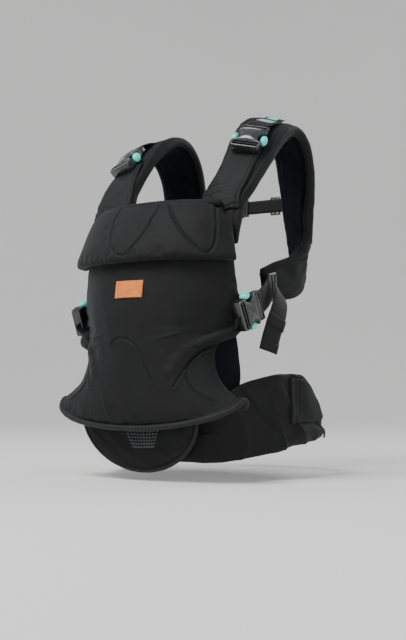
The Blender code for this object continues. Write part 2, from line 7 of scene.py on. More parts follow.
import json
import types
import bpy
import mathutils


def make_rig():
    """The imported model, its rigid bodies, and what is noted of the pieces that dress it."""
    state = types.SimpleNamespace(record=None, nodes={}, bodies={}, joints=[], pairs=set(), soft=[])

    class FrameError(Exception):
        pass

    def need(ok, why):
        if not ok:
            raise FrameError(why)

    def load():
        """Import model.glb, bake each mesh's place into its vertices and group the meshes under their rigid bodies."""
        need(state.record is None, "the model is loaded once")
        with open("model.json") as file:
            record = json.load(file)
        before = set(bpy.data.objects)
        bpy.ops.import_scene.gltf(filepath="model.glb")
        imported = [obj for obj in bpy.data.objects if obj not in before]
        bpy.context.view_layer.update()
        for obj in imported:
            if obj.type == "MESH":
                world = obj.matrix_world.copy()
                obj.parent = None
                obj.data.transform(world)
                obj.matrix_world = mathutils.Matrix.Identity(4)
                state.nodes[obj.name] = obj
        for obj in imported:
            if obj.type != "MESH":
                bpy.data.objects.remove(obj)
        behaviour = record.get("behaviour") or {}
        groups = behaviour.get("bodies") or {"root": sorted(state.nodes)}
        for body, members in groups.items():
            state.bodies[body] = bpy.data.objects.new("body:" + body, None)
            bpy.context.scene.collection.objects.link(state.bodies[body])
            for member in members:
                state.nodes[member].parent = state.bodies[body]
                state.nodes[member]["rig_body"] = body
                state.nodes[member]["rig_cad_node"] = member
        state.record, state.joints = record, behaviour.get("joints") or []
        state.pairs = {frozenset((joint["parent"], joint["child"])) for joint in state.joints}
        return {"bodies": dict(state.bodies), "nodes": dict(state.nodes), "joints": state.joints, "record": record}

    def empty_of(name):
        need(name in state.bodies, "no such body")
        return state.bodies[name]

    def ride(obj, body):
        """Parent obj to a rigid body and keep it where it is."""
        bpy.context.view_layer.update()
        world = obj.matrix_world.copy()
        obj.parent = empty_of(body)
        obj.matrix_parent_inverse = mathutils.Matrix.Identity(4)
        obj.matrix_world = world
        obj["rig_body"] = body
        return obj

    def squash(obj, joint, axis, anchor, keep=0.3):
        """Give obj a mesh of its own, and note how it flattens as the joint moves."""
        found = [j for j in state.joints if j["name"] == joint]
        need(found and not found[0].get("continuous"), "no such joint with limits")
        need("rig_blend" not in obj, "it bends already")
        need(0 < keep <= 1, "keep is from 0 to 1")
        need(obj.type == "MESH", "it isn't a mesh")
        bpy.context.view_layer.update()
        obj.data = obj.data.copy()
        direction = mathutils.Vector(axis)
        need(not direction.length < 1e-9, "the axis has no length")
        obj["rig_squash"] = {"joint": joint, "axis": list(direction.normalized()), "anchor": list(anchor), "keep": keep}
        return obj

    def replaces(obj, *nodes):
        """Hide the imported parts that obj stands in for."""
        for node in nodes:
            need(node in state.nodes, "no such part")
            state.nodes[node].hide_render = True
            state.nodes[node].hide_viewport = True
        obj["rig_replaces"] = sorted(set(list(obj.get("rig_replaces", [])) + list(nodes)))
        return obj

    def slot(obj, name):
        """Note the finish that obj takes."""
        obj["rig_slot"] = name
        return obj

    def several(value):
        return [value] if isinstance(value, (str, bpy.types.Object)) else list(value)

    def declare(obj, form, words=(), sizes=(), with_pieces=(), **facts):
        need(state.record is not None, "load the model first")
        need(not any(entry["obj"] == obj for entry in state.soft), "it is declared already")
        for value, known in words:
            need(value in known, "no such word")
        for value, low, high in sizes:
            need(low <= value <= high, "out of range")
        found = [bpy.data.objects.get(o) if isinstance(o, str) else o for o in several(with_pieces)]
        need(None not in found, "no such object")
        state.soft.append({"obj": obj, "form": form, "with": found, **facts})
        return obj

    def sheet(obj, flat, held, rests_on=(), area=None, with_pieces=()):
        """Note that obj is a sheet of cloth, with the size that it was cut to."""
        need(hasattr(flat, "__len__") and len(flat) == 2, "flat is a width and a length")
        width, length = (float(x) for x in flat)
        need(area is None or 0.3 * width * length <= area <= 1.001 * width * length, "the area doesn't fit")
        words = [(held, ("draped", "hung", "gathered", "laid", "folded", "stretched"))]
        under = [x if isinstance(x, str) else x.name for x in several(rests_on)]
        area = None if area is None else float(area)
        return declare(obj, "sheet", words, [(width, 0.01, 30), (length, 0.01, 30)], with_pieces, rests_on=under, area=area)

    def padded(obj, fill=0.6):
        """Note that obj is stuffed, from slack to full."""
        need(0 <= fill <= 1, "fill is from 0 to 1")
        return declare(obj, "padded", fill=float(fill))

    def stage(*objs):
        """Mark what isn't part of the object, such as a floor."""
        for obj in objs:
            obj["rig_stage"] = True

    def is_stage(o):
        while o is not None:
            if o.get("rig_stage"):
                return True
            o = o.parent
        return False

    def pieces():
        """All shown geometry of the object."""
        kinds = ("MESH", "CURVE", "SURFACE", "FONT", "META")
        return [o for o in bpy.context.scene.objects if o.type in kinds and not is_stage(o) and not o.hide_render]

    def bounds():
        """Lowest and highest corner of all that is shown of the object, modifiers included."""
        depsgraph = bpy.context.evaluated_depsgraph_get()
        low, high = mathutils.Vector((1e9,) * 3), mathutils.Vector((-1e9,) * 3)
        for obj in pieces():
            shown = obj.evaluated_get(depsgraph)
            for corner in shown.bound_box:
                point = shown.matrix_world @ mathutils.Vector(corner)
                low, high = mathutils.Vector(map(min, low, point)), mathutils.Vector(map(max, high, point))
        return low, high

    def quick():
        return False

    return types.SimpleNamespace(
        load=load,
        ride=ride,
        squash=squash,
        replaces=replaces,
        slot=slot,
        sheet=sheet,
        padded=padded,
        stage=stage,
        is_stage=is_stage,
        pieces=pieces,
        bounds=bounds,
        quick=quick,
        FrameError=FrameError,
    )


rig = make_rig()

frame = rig.load()

import json
from math import asin, cos, pi, radians, sin

import bmesh
import bpy
import numpy as np
from mathutils import Matrix, Vector, noise
from mathutils.bvhtree import BVHTree

CAD_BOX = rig.bounds()
NODES = frame["nodes"]
SIDES = ((-1, "left"), (1, "right"))

# The shapes that the CAD solids follow, repeated here in metres
PANEL_TURN = radians(75)
PANEL_ROWS = (  # height, half width, how far out the middle and the edges stand
    (0.285, 0.118, -0.080, -0.045),
    (0.250, 0.130, -0.104, -0.054),
    (0.205, 0.141, -0.124, -0.054),
    (0.150, 0.147, -0.135, -0.050),
    (0.108, 0.149, -0.140, -0.043),
    (0.084, 0.143, -0.141, -0.048),
    (0.062, 0.127, -0.142, -0.074),
    (0.036, 0.122, -0.143, -0.080),
    (0.012, 0.128, -0.143, -0.082),
    (-0.004, 0.146, -0.142, -0.084),
    (-0.014, 0.168, -0.140, -0.086),
)
LIP_CENTRE = Vector((0, -0.085, -0.022))
LIP_HALF_WIDTH = 0.174
LIP_DEPTH = 0.055
LIP_SAG = 0.043
LIP_START = 0.6
LIP_TURN = radians(86)
PIPING_RADIUS = 0.0045
COLLAR_DOWN = 0.230  # how far down the panel the collar reaches
CRESCENT_TOP = Vector((0, -0.117, -0.050))
CRESCENT_HALF = 0.106
CRESCENT_DROP = 0.081
STRAP_THICK = 0.020  # the solid's, which the padding stays a little inside
PADDING_THICK = 0.0165
STRAP_STATIONS = (  # the right strap's centre line, its outward direction and its width
    ((0.112, -0.030, 0.291), (0.00, -0.86, 0.50), 0.064),
    ((0.118, -0.010, 0.325), (0.10, -0.84, 0.54), 0.078),
    ((0.119, 0.022, 0.366), (0.22, -0.73, 0.64), 0.086),
    ((0.118, 0.062, 0.410), (0.29, -0.50, 0.82), 0.090),
    ((0.116, 0.105, 0.434), (0.30, -0.05, 0.95), 0.090),
    ((0.117, 0.144, 0.430), (0.30, 0.42, 0.85), 0.088),
    ((0.118, 0.172, 0.398), (0.28, 0.80, 0.50), 0.086),
    ((0.118, 0.185, 0.348), (0.32, 0.94, 0.12), 0.083),
    ((0.118, 0.190, 0.285), (0.50, 0.86, 0.00), 0.080),
    ((0.126, 0.184, 0.232), (0.66, 0.74, -0.08), 0.080),
    ((0.140, 0.158, 0.198), (0.88, 0.45, -0.12), 0.080),
    ((0.143, 0.124, 0.180), (0.98, 0.18, -0.08), 0.074),
    ((0.138, 0.080, 0.169), (0.99, -0.05, 0.00), 0.066),
    ((0.132, 0.040, 0.160), (0.99, -0.10, 0.00), 0.054),
)
STRAP_ROOT = 0.291
LEFT_DROOP = 0.10
BELT_THICK = 0.014
WING_STATIONS = (  # plan point of the right wing's outer face, bottom and top height
    ((0.101, -0.0850), -0.122, -0.030),
    ((0.126, -0.0710), -0.121, -0.018),
    ((0.150, -0.0400), -0.117, 0.003),
    ((0.172, 0.0050), -0.110, 0.015),
    ((0.186, 0.0500), -0.101, 0.018),
    ((0.190, 0.0850), -0.097, 0.012),
    ((0.189, 0.1150), -0.092, -0.018),
    ((0.184, 0.1450), -0.086, -0.050),
)
BELT_WEBBING = 0.038
CHEST_WEBBING = 0.025
SHOULDER_WEBBING = 0.036
TAIL_WEBBING = 0.034
WEBBING_THICK = 0.0022
SLOT_FIT = 0.96  # webbing is this much narrower than the slot it runs through
SHOULDER_TRAVEL, SIDE_TRAVEL, WAIST_TRAVEL, CHEST_TRAVEL = 0.020, 0.018, 0.020, 0.014  # of the plugs
THREAD_SIZE = (0.0024, 0.0006, 0.0004)
THREAD_PITCH = 0.0036
EDGE_ROUNDING = 0.0009
WELD_DISTANCE = 0.00001
FLOOR_RADIUS = 2.4
WALL_BEND = 1.6
WALL_TOP = 4.5

# The camera stands level with the waistband, on the side of the wearer's left arm
CAMERA_TURN = radians(35)
CAMERA_DISTANCE = 1.9
CAMERA_ASIDE = radians(-1.14)
CAMERA_PITCH = radians(3.2)
CAMERA_LENS = 64.8


# ---------------------------------------------------------------- materials

def shader_tree(name):
    made = bpy.data.materials.new(name)
    made.use_nodes = True
    return made, made.node_tree, made.node_tree.nodes["Principled BSDF"]


def node(tree, kind, inputs=(), source=None, **settings):
    """A shader node with these settings, input values by name, and its first free input fed by source."""
    made = tree.nodes.new(kind)
    for key, value in settings.items():
        setattr(made, key, value)
    for key, value in dict(inputs).items():
        made.inputs[key].default_value = value
    if source is not None:
        tree.links.new(source, made.inputs[0])
    return made


def math_node(tree, operation, first, second):
    made = node(tree, "ShaderNodeMath", operation=operation)
    for socket, value in zip(made.inputs, (first, second)):
        if isinstance(value, (int, float)):
            socket.default_value = value
        else:
            tree.links.new(value, socket)
    return made.outputs[0]


def noise_texture(tree, place, scale, detail, roughness=0.5):
    inputs = {"Scale": scale, "Detail": detail, "Roughness": roughness}
    return node(tree, "ShaderNodeTexNoise", inputs, place).outputs["Fac"]


def coloured_by(tree, shader, source, places, colours):
    """A base colour that runs from one colour to the other while the source passes these two values."""
    ramp = node(tree, "ShaderNodeValToRGB", source=source)
    for element, place, colour in zip(ramp.color_ramp.elements, places, colours):
        element.position = place
        element.color = (*colour, 1)
    tree.links.new(ramp.outputs["Color"], shader.inputs["Base Color"])
    return ramp.outputs["Color"]


def rough_by(tree, shader, source, low, high):
    spread = node(tree, "ShaderNodeMapRange", {"To Min": low, "To Max": high}, source)
    tree.links.new(spread.outputs["Result"], shader.inputs["Roughness"])


def mottled(tree, shader, colour, amount, size, roughness):
    """Colour and roughness that vary over patches of this size in metres. Returns where they are laid."""
    place = node(tree, "ShaderNodeTexCoord").outputs["Object"]
    patches = noise_texture(tree, place, 1 / size, 3, 0.6)
    shades = [[c * (1 + sign * amount) for c in colour] for sign in (-1, 1)]
    coloured_by(tree, shader, patches, (0.3, 0.7), shades)
    rough_by(tree, shader, patches, *roughness)
    return place


def bumped(tree, shader, height, distance, strength=1.0, before=None):
    """Adds a bump of this height in metres, on top of an earlier bump if there is one."""
    bump = node(tree, "ShaderNodeBump", {"Strength": strength, "Distance": distance})
    tree.links.new(height, bump.inputs["Height"])
    if before is not None:
        tree.links.new(before.outputs["Normal"], bump.inputs["Normal"])
    tree.links.new(bump.outputs["Normal"], shader.inputs["Normal"])
    return bump


def feel(shader, specular, sheen=0.0, fuzz=0.5, tint=(1, 1, 1), coat=0.0):
    """Highlights, sheen and clear coat, set on the shader's own sockets."""
    sockets = {"Specular IOR Level": specular, "Sheen Weight": sheen, "Sheen Roughness": fuzz,
               "Sheen Tint": (*tint, 1), "Coat Weight": coat, "Coat Roughness": 0.22}
    for name, value in sockets.items():
        shader.inputs[name].default_value = value


def cloth_coordinates(tree):
    """A sheet's own flat coordinates in metres, across and along the cloth."""
    return node(tree, "ShaderNodeAttribute", attribute_name="flat").outputs["Vector"]


def diagonal_wave(tree, coordinates, period, turn):
    """Ridges with this spacing, at this angle to the cloth's threads."""
    mapping = node(tree, "ShaderNodeMapping", {"Rotation": (0, 0, turn)}, coordinates)
    inputs = {"Scale": 2 * pi / 20 / period, "Distortion": 0.4, "Detail": 1}
    return node(tree, "ShaderNodeTexWave", inputs, mapping.outputs["Vector"]).outputs["Fac"]


def twill(name, colour, period=0.0011, depth=0.00012, sheen=0.05, roughness=(0.58, 0.78)):
    """Cotton twill: fine diagonal ribs, a soft sheen, and fuzz that catches the light."""
    made, tree, shader = shader_tree(name)
    place = mottled(tree, shader, colour, 0.16, 0.035, roughness)
    flat = cloth_coordinates(tree)
    ribs = diagonal_wave(tree, flat, period, radians(62))
    threads = diagonal_wave(tree, flat, period * 0.55, radians(-28))
    softened = math_node(tree, "ADD", math_node(tree, "MULTIPLY", threads, 0.5), 0.5)
    weave = bumped(tree, shader, math_node(tree, "MULTIPLY", ribs, softened), depth, 0.55)
    bumped(tree, shader, noise_texture(tree, place, 55, 4, 0.55), 0.0011, 0.35, weave)
    feel(shader, 0.16, sheen, 0.45, (0.62, 0.66, 0.74))
    return made


def spacer_mesh(name, colour, cell=0.0028):
    """Air mesh lining: rows of small holes in a springy knit."""
    made, tree, shader = shader_tree(name)
    cells = node(tree, "ShaderNodeTexVoronoi", {"Scale": 1 / cell, "Randomness": 0.12},
                 cloth_coordinates(tree), feature="F1").outputs["Distance"]
    holes = coloured_by(tree, shader, cells, (0.16, 0.46), ([c * 0.25 for c in colour], colour))
    rough_by(tree, shader, cells, 0.95, 0.70)
    bumped(tree, shader, holes, 0.0007, 0.7)
    feel(shader, 0.08, 0.03, 0.5, (0.55, 0.62, 0.85))
    return made


def woven_webbing(name, colour, period=0.0024):
    """Strap webbing: a herringbone of ribs along the strap."""
    made, tree, shader = shader_tree(name)
    mottled(tree, shader, colour, 0.12, 0.02, (0.50, 0.68))
    flat = cloth_coordinates(tree)
    one, other = [diagonal_wave(tree, flat, period, radians(turn)) for turn in (50, -50)]
    bumped(tree, shader, math_node(tree, "MAXIMUM", one, other), 0.00035, 0.8)
    feel(shader, 0.22, 0.03, 0.4)
    return made


def plain_cord(name, colour):
    """Fabric pulled tight round a cord, for the piping."""
    made, tree, shader = shader_tree(name)
    place = mottled(tree, shader, colour, 0.14, 0.012, (0.55, 0.75))
    bumped(tree, shader, noise_texture(tree, place, 900, 2), 0.0003, 0.6)
    feel(shader, 0.25, 0.06, 0.4)
    return made


def tan_leather(name, colour):
    """Tan leather: pebbled grain, darker in its pores and towards worn spots."""
    made, tree, shader = shader_tree(name)
    place = mottled(tree, shader, colour, 0.22, 0.009, (0.38, 0.58))
    pores = node(tree, "ShaderNodeTexVoronoi", {"Scale": 1100}, place, feature="DISTANCE_TO_EDGE")
    grain = bumped(tree, shader, pores.outputs["Distance"], 0.0004, 0.5)
    bumped(tree, shader, noise_texture(tree, place, 160, 3), 0.0006, 0.35, grain)
    feel(shader, 0.30)
    return made


def moulded(name, colour, roughness, coat=0.0, amount=0.08):
    """Moulded plastic with faint flow marks and a fine spark-eroded texture."""
    made, tree, shader = shader_tree(name)
    place = mottled(tree, shader, colour, amount, 0.01, (roughness - 0.05, roughness + 0.09))
    bumped(tree, shader, noise_texture(tree, place, 1600, 2), 0.00012, 0.35)
    feel(shader, 0.55, coat=coat)
    return made


SHELL = twill("shell_twill", (0.0082, 0.0083, 0.0088))
SHELL_TIGHT = twill("shell_tight", (0.0090, 0.0091, 0.0097), roughness=(0.52, 0.72))
LINING = spacer_mesh("lining_mesh", (0.0042, 0.0045, 0.0060))
WEBBING = woven_webbing("webbing_rib", (0.0072, 0.0073, 0.0079))
ELASTIC = woven_webbing("webbing_elastic", (0.0050, 0.0051, 0.0056), period=0.0015)
PIPING = plain_cord("piping_cord", (0.0105, 0.0106, 0.0112))
THREAD = plain_cord("thread_black", (0.0060, 0.0060, 0.0066))
LEATHER = tan_leather("leather_tan", (0.66, 0.185, 0.034))
THREAD_TAN = plain_cord("thread_tan", (0.85, 0.47, 0.22))
VENT = plain_cord("vent_cord", (0.105, 0.108, 0.115))
PLASTIC = moulded("buckle_black", (0.0120, 0.0122, 0.0132), 0.24, coat=0.35)
TURQUOISE = moulded("button_turquoise", (0.085, 0.76, 0.66), 0.26, coat=0.6, amount=0.05)
RIM = moulded("buckle_rim", (0.060, 0.061, 0.065), 0.20, coat=0.6)
FACE = moulded("buckle_face", (0.026, 0.0265, 0.0285), 0.26, coat=0.5)
TURQUOISE_TAPE = woven_webbing("tape_turquoise", (0.070, 0.62, 0.56), period=0.0012)
GREY_TAPE = woven_webbing("tape_grey", (0.34, 0.35, 0.36), period=0.0012)


# ---------------------------------------------------------------- curves and surfaces

def smooth_path(points, steps):
    """A Catmull-Rom curve through the points, with this many steps between two of them."""
    points = [Vector(p) for p in points]
    ends = [2 * points[0] - points[1], *points, 2 * points[-1] - points[-2]]
    path = []
    for before, start, stop, after in zip(ends, ends[1:], ends[2:], ends[3:]):
        for step in range(steps):
            t = step / steps
            path.append(
                0.5 * (2 * start + (stop - before) * t
                       + (2 * before - 5 * start + 4 * stop - after) * t**2
                       + (3 * start - before - 3 * stop + after) * t**3)
            )
    path.append(points[-1])
    return path


def tangents(path):
    last = len(path) - 1
    return [(path[min(i + 1, last)] - path[max(i - 1, 0)]).normalized() for i in range(last + 1)]


def blend_rows(rows, share):
    """Smoothly interpolated numbers of a table whose rows are evenly spaced in 0..1."""
    place = min(max(share, 0), 1) * (len(rows) - 1)
    index = min(int(place), len(rows) - 2)
    t = place - index
    before, after = rows[max(index - 1, 0)], rows[min(index + 2, len(rows) - 1)]
    start, stop = rows[index], rows[index + 1]
    return [
        0.5 * (2 * b + (c - a) * t + (2 * a - 5 * b + 4 * c - d) * t**2
               + (3 * b - a - 3 * c + d) * t**3)
        for a, b, c, d in zip(before, start, stop, after)
    ]


def mirrored(points, side):
    return [Vector((p[0] * side, p[1], p[2])) for p in points]


def lip_point(angle, inward=0.0, up=0.0):
    return Vector((
        (LIP_HALF_WIDTH - inward) * sin(angle),
        LIP_CENTRE.y - (LIP_DEPTH - inward) * cos(angle),
        LIP_CENTRE.z - LIP_SAG * cos(angle) + up,
    ))


def panel_point(across, down, lift=0.0):
    """A point of the panel's outer face: across -1..1, down 0 (top)..1 (lip), lifted off it."""
    height, half, middle, edge = blend_rows(PANEL_ROWS, down)
    turn = across * PANEL_TURN
    rise = (cos(turn) - cos(PANEL_TURN)) / (1 - cos(PANEL_TURN))
    sag = LIP_SAG * rise * max(0, (down - LIP_START) / (1 - LIP_START)) ** 1.6
    point = Vector((half * sin(turn) / sin(PANEL_TURN), edge + (middle - edge) * rise, height - sag))
    flare = max(0, (down - LIP_START) / (1 - LIP_START)) ** 2
    point = point.lerp(lip_point(across * LIP_TURN, up=0.0005), flare)
    outward = Vector((sin(turn) * (edge - middle) / half * 1.4, -cos(turn), 0)).normalized()
    return point + outward * lift


def crescent_point(angle, share, depth=0.0):
    drop = cos(angle)
    rim = Vector((CRESCENT_HALF * sin(angle), 0.013 * drop, -CRESCENT_DROP * drop))
    top = Vector((rim.x * 0.98, 0.004 * drop, -0.012 * drop))
    return CRESCENT_TOP + top.lerp(rim, share) + Vector((0, depth, 0))


def wing_frame(share):
    """Outer plan point, outward direction, bottom and top height along the right wing."""
    rows = [(*plan, low, high) for plan, low, high in WING_STATIONS]
    here = blend_rows(rows, share)
    ahead, behind = blend_rows(rows, share + 0.02), blend_rows(rows, share - 0.02)
    along = Vector((ahead[0] - behind[0], ahead[1] - behind[1], 0)).normalized()
    return Vector((here[0], here[1], 0)), Vector((along.y, -along.x, 0)), here[2], here[3]


def settled(point, side):
    """A right-side point on its own side. The left strap sits a little lower than the right."""
    x, y, z = point
    if side < 0 and z > STRAP_ROOT:
        z -= LEFT_DROOP * (z - STRAP_ROOT)
    return Vector((x * side, y, z))


def strap_path(side, steps, stations=STRAP_STATIONS):
    """Centre line, outward directions and widths of one strap."""
    points, faces, widths = zip(*stations)
    widths = smooth_path([(width, 0, 0) for width in widths], steps)
    return (smooth_path([settled(p, side) for p in points], steps), smooth_path(mirrored(faces, side), steps),
            [w.x for w in widths])


def surface(point, columns, rows):
    """An array of point(u, v) over the unit square."""
    grid = [[point(j / columns, i / rows) for j in range(columns + 1)] for i in range(rows + 1)]
    return np.array(grid, float)


def surface_normals(middle, flip):
    across, down = np.gradient(middle, axis=1), np.gradient(middle, axis=0)
    normal = np.cross(down, across) * (-1 if flip else 1)
    return normal / np.maximum(np.linalg.norm(normal, axis=2, keepdims=True), 1e-9)


def band_surface(path, outward, widths, columns, lift=0.0):
    """The middle surface of a band: columns across it, one row for each point of its path."""
    grid = []
    for point, along, hint, width in zip(path, tangents(path), outward, widths):
        across = along.cross(hint).normalized()
        out = across.cross(along).normalized()
        grid.append([point + across * width * (j / columns - 0.5) + out * lift for j in range(columns + 1)])
    return np.array(grid, float)


# ---------------------------------------------------------------- sewing

def distance_to_line(s, t, line):
    """How far flat points (s, t) lie from a line of flat points."""
    place = np.stack([s, t], -1)
    best = np.full(s.shape, 1e9)
    for a, b in zip(line, line[1:]):
        a, b = np.array(a), np.array(b)
        span = b - a
        share = np.clip(((place - a) @ span) / max(span @ span, 1e-12), 0, 1)
        best = np.minimum(best, np.linalg.norm(place - a - share[..., None] * span, axis=-1))
    return best


def soft_noise(points, size, seed):
    """Smooth noise of about this feature size, -1..1, at each row of an array."""
    at = Vector((seed * 7.31, seed * 3.17, seed * 1.73))
    return np.array([noise.noise(Vector(p) / size + at) for p in points])


def folds(s, t, turn, length, width, seed):
    """Long soft folds running at an angle, 0..1, with crisp tops."""
    along = s * cos(turn) + t * sin(turn)
    across = -s * sin(turn) + t * cos(turn)
    rows = np.stack([along / length, across / width, np.zeros_like(s)], -1)
    value = soft_noise(rows, 1.0, seed)
    return np.clip(1 - np.abs(value) * 2.4, 0, 1) ** 1.5


def near(u, v, centre, spread):
    """A soft mask round a place of the sheet."""
    return np.exp(-(((u - centre[0]) / spread[0]) ** 2) - ((v - centre[1]) / spread[1]) ** 2)


def vectors(collection, field, width=3):
    """One property of a mesh collection, as an array with a row for each item."""
    values = np.zeros(len(collection) * width)
    collection.foreach_get(field, values)
    return values.reshape(-1, width)


def smooth_line(line, steps):
    """A smooth curve through a line of (u, v) places."""
    return [(p.x, p.y) for p in smooth_path([(*place, 0) for place in line], steps)]


def held_along(lines, width, height, reach):
    """A mask for puff: a sheet of this size is held within this reach of lines of (u, v) places."""
    def held(u, v):
        gaps = [distance_to_line(u * width, v * height, [(a * width, b * height) for a, b in line])
                for line in lines]
        return np.clip(1 - np.min(gaps, axis=0) / reach, 0, 1)

    return held


PUFFED_CLOTH = {"quality": 4, "mass": 0.25, "tension_stiffness": 12, "compression_stiffness": 12,
                "bending_stiffness": 0.4, "use_pressure": True}
PUFF_FRAMES = 16


class Sheet:
    """A closed padded sheet about a middle surface, whose vertices know their place on the cloth."""

    def __init__(self, name, middle, thick, edge, front, back=None, flip=False):
        rows, columns = middle.shape[0] - 1, middle.shape[1] - 1
        normal = surface_normals(middle, flip)
        s = np.zeros(middle.shape[:2])
        t = np.zeros(middle.shape[:2])
        s[:, 1:] = np.cumsum(np.linalg.norm(np.diff(middle, axis=1), axis=2), axis=1)
        t[1:, :] = np.cumsum(np.linalg.norm(np.diff(middle, axis=0), axis=2), axis=0)
        rim = np.minimum(np.minimum(s, s[:, -1:] - s), np.minimum(t, t[-1:, :] - t))
        s = s - s[:, -1:] / 2
        rise = np.sqrt(1 - (1 - np.clip(rim / edge, 0, 1)) ** 2)
        half = (np.broadcast_to(thick, rim.shape) / 2 * rise)[..., None]
        u, v = np.meshgrid(np.linspace(0, 1, columns + 1), np.linspace(0, 1, rows + 1))
        inner = np.zeros(rim.shape, bool)
        inner[1:-1, 1:-1] = True
        front_index = np.arange(rim.size).reshape(rim.shape)
        back_index = front_index.copy()
        back_index[inner] = rim.size + np.arange(inner.sum())
        points = np.concatenate([(middle + normal * half).reshape(-1, 3), (middle - normal * half)[inner]])
        self.side = np.concatenate([np.where(inner, 1, 0).ravel(), -np.ones(inner.sum())])

        def both(values):
            return np.concatenate([values.ravel(), values[inner]])

        faces, slots = [], []
        for i in range(rows):
            for j in range(columns):
                f = front_index[i : i + 2, j : j + 2]
                b = back_index[i : i + 2, j : j + 2]
                quads = [[f[0, 0], f[0, 1], f[1, 1], f[1, 0]], [b[0, 0], b[1, 0], b[1, 1], b[0, 1]]]
                if not flip:
                    quads = [q[::-1] for q in quads]
                faces += quads
                slots += [0, 1 if rim[i : i + 2, j : j + 2].min() >= edge * 0.8 else 0]
        mesh = bpy.data.meshes.new(name)
        mesh.from_pydata(points.tolist(), [], [[int(k) for k in q] for q in faces])
        mesh.materials.append(front)
        if back:
            mesh.materials.append(back)
            mesh.polygons.foreach_set("material_index", slots)
        mesh.shade_smooth()
        self.obj = bpy.data.objects.new(name, mesh)
        bpy.context.scene.collection.objects.link(self.obj)
        flat = np.stack([both(s), both(t), self.side * 0.01], -1)
        self.store("flat", "FLOAT_VECTOR", "vector", flat)
        self.store("place", "FLOAT_VECTOR", "vector", np.stack([both(u), both(v), self.side], -1))
        self.store("rim", "FLOAT", "value", both(rim))

    def store(self, name, kind, field, values):
        self.obj.data.attributes.new(name, kind, "POINT").data.foreach_set(field, values.ravel())

    def read(self, name, field="vector", width=3):
        return vectors(self.obj.data.attributes[name].data, field, width)

    def points(self):
        return vectors(self.obj.data.vertices, "co")

    def normals(self):
        return vectors(self.obj.data.vertex_normals, "vector")

    def move(self, points):
        self.obj.data.vertices.foreach_set("co", points.ravel())
        self.obj.data.update()

    def settle_modifiers(self):
        """Applies the object's modifiers to its mesh."""
        graph = bpy.context.evaluated_depsgraph_get()
        graph.update()
        made = bpy.data.meshes.new_from_object(self.obj.evaluated_get(graph), depsgraph=graph)
        self.obj.modifiers.clear()
        old, self.obj.data = self.obj.data, made
        bpy.data.meshes.remove(old)

    def puff(self, pressure, cap, held=None, slack=0.0):
        """Blows the sheet up like a pad. held is a mask of the points that a seam holds."""
        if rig.quick():
            return self
        rim = self.read("rim", "value", 1)[:, 0]
        pins = np.where(rim < 1e-4, 1.0, 0.0)
        if held is not None:
            place = self.read("place")
            pins = np.maximum(pins, held(place[:, 0], place[:, 1]))
        group = self.obj.vertex_groups.new(name="seams")
        for index in np.nonzero(pins > 0.05)[0]:
            group.add([int(index)], float(pins[index]), "REPLACE")
        before = self.points()
        cloth = self.obj.modifiers.new("puff", "CLOTH")
        for key, value in PUFFED_CLOTH.items():
            setattr(cloth.settings, key, value)
        cloth.settings.uniform_pressure_force = pressure
        cloth.settings.shrink_min = -slack
        cloth.settings.vertex_group_mass = "seams"
        cloth.settings.effector_weights.gravity = 0
        cloth.collision_settings.use_collision = False
        scene = bpy.context.scene
        for step in range(1, PUFF_FRAMES + 1):
            scene.frame_set(step)
        self.settle_modifiers()
        scene.frame_set(1)
        shift = self.points() - before
        size = np.linalg.norm(shift, axis=1, keepdims=True)
        self.move(before + shift * np.minimum(1, cap / np.maximum(size, 1e-9)))
        return self

    def refine(self, levels=1):
        modifier = self.obj.modifiers.new("smooth", "SUBSURF")
        modifier.levels = modifier.render_levels = levels
        self.settle_modifiers()
        return self

    def relief(self, height, front=True):
        """Moves one face in or out by height(u, v, s, t), an array function in metres."""
        place, flat = self.read("place"), self.read("flat")
        side = np.clip(place[:, 2] if front else -place[:, 2], 0, 1)
        amount = height(place[:, 0], place[:, 1], flat[:, 0], flat[:, 1]) * side
        self.move(self.points() + self.normals() * amount[:, None])
        return self

    def flat_line(self, line):
        """A line of (u, v) places as flat (s, t) points, through the nearest vertices."""
        place, flat = self.read("place"), self.read("flat")
        fronts = place[:, 2] >= 0
        place, flat = place[fronts], flat[fronts]
        nearest = [np.argmin(((place[:, :2] - np.array(p)) ** 2).sum(1)) for p in line]
        return [tuple(flat[i, :2]) for i in nearest]

    def seam(self, line, depth=0.0016, width=0.0022, roll=0.0, smooth=6, front=True):
        """Sews a seam along a line of (u, v) places, with a soft roll on both sides of it."""
        flat = self.flat_line(smooth_line(line, smooth))

        def height(u, v, s, t):
            d = distance_to_line(s, t, flat)
            beside = np.exp(-(((d - 3 * width) / (1.6 * width)) ** 2))
            return roll * beside - depth * np.exp(-((d / width) ** 2))

        return self.relief(height, front)

    def stitches(self, line, material, pitch=THREAD_PITCH, size=THREAD_SIZE, name=None, smooth=8):
        """Short threads along a line of (u, v) places, lying on the front face."""
        place, points, normals = self.read("place"), self.points(), self.normals()
        fronts = place[:, 2] > 0
        place, points, normals = place[fronts], points[fronts], normals[fronts]
        nearest = [np.argmin(((place[:, :2] - np.array(p)) ** 2).sum(1)) for p in smooth_line(line, smooth)]
        path = smooth_path([Vector(points[i]) for i in dict.fromkeys(nearest)], 4)
        outs = [Vector(normals[np.argmin(((points - np.array(p)) ** 2).sum(1))]) for p in path]
        return thread_row(name or f"{self.obj.name}_stitches", path, outs, material, pitch, size)


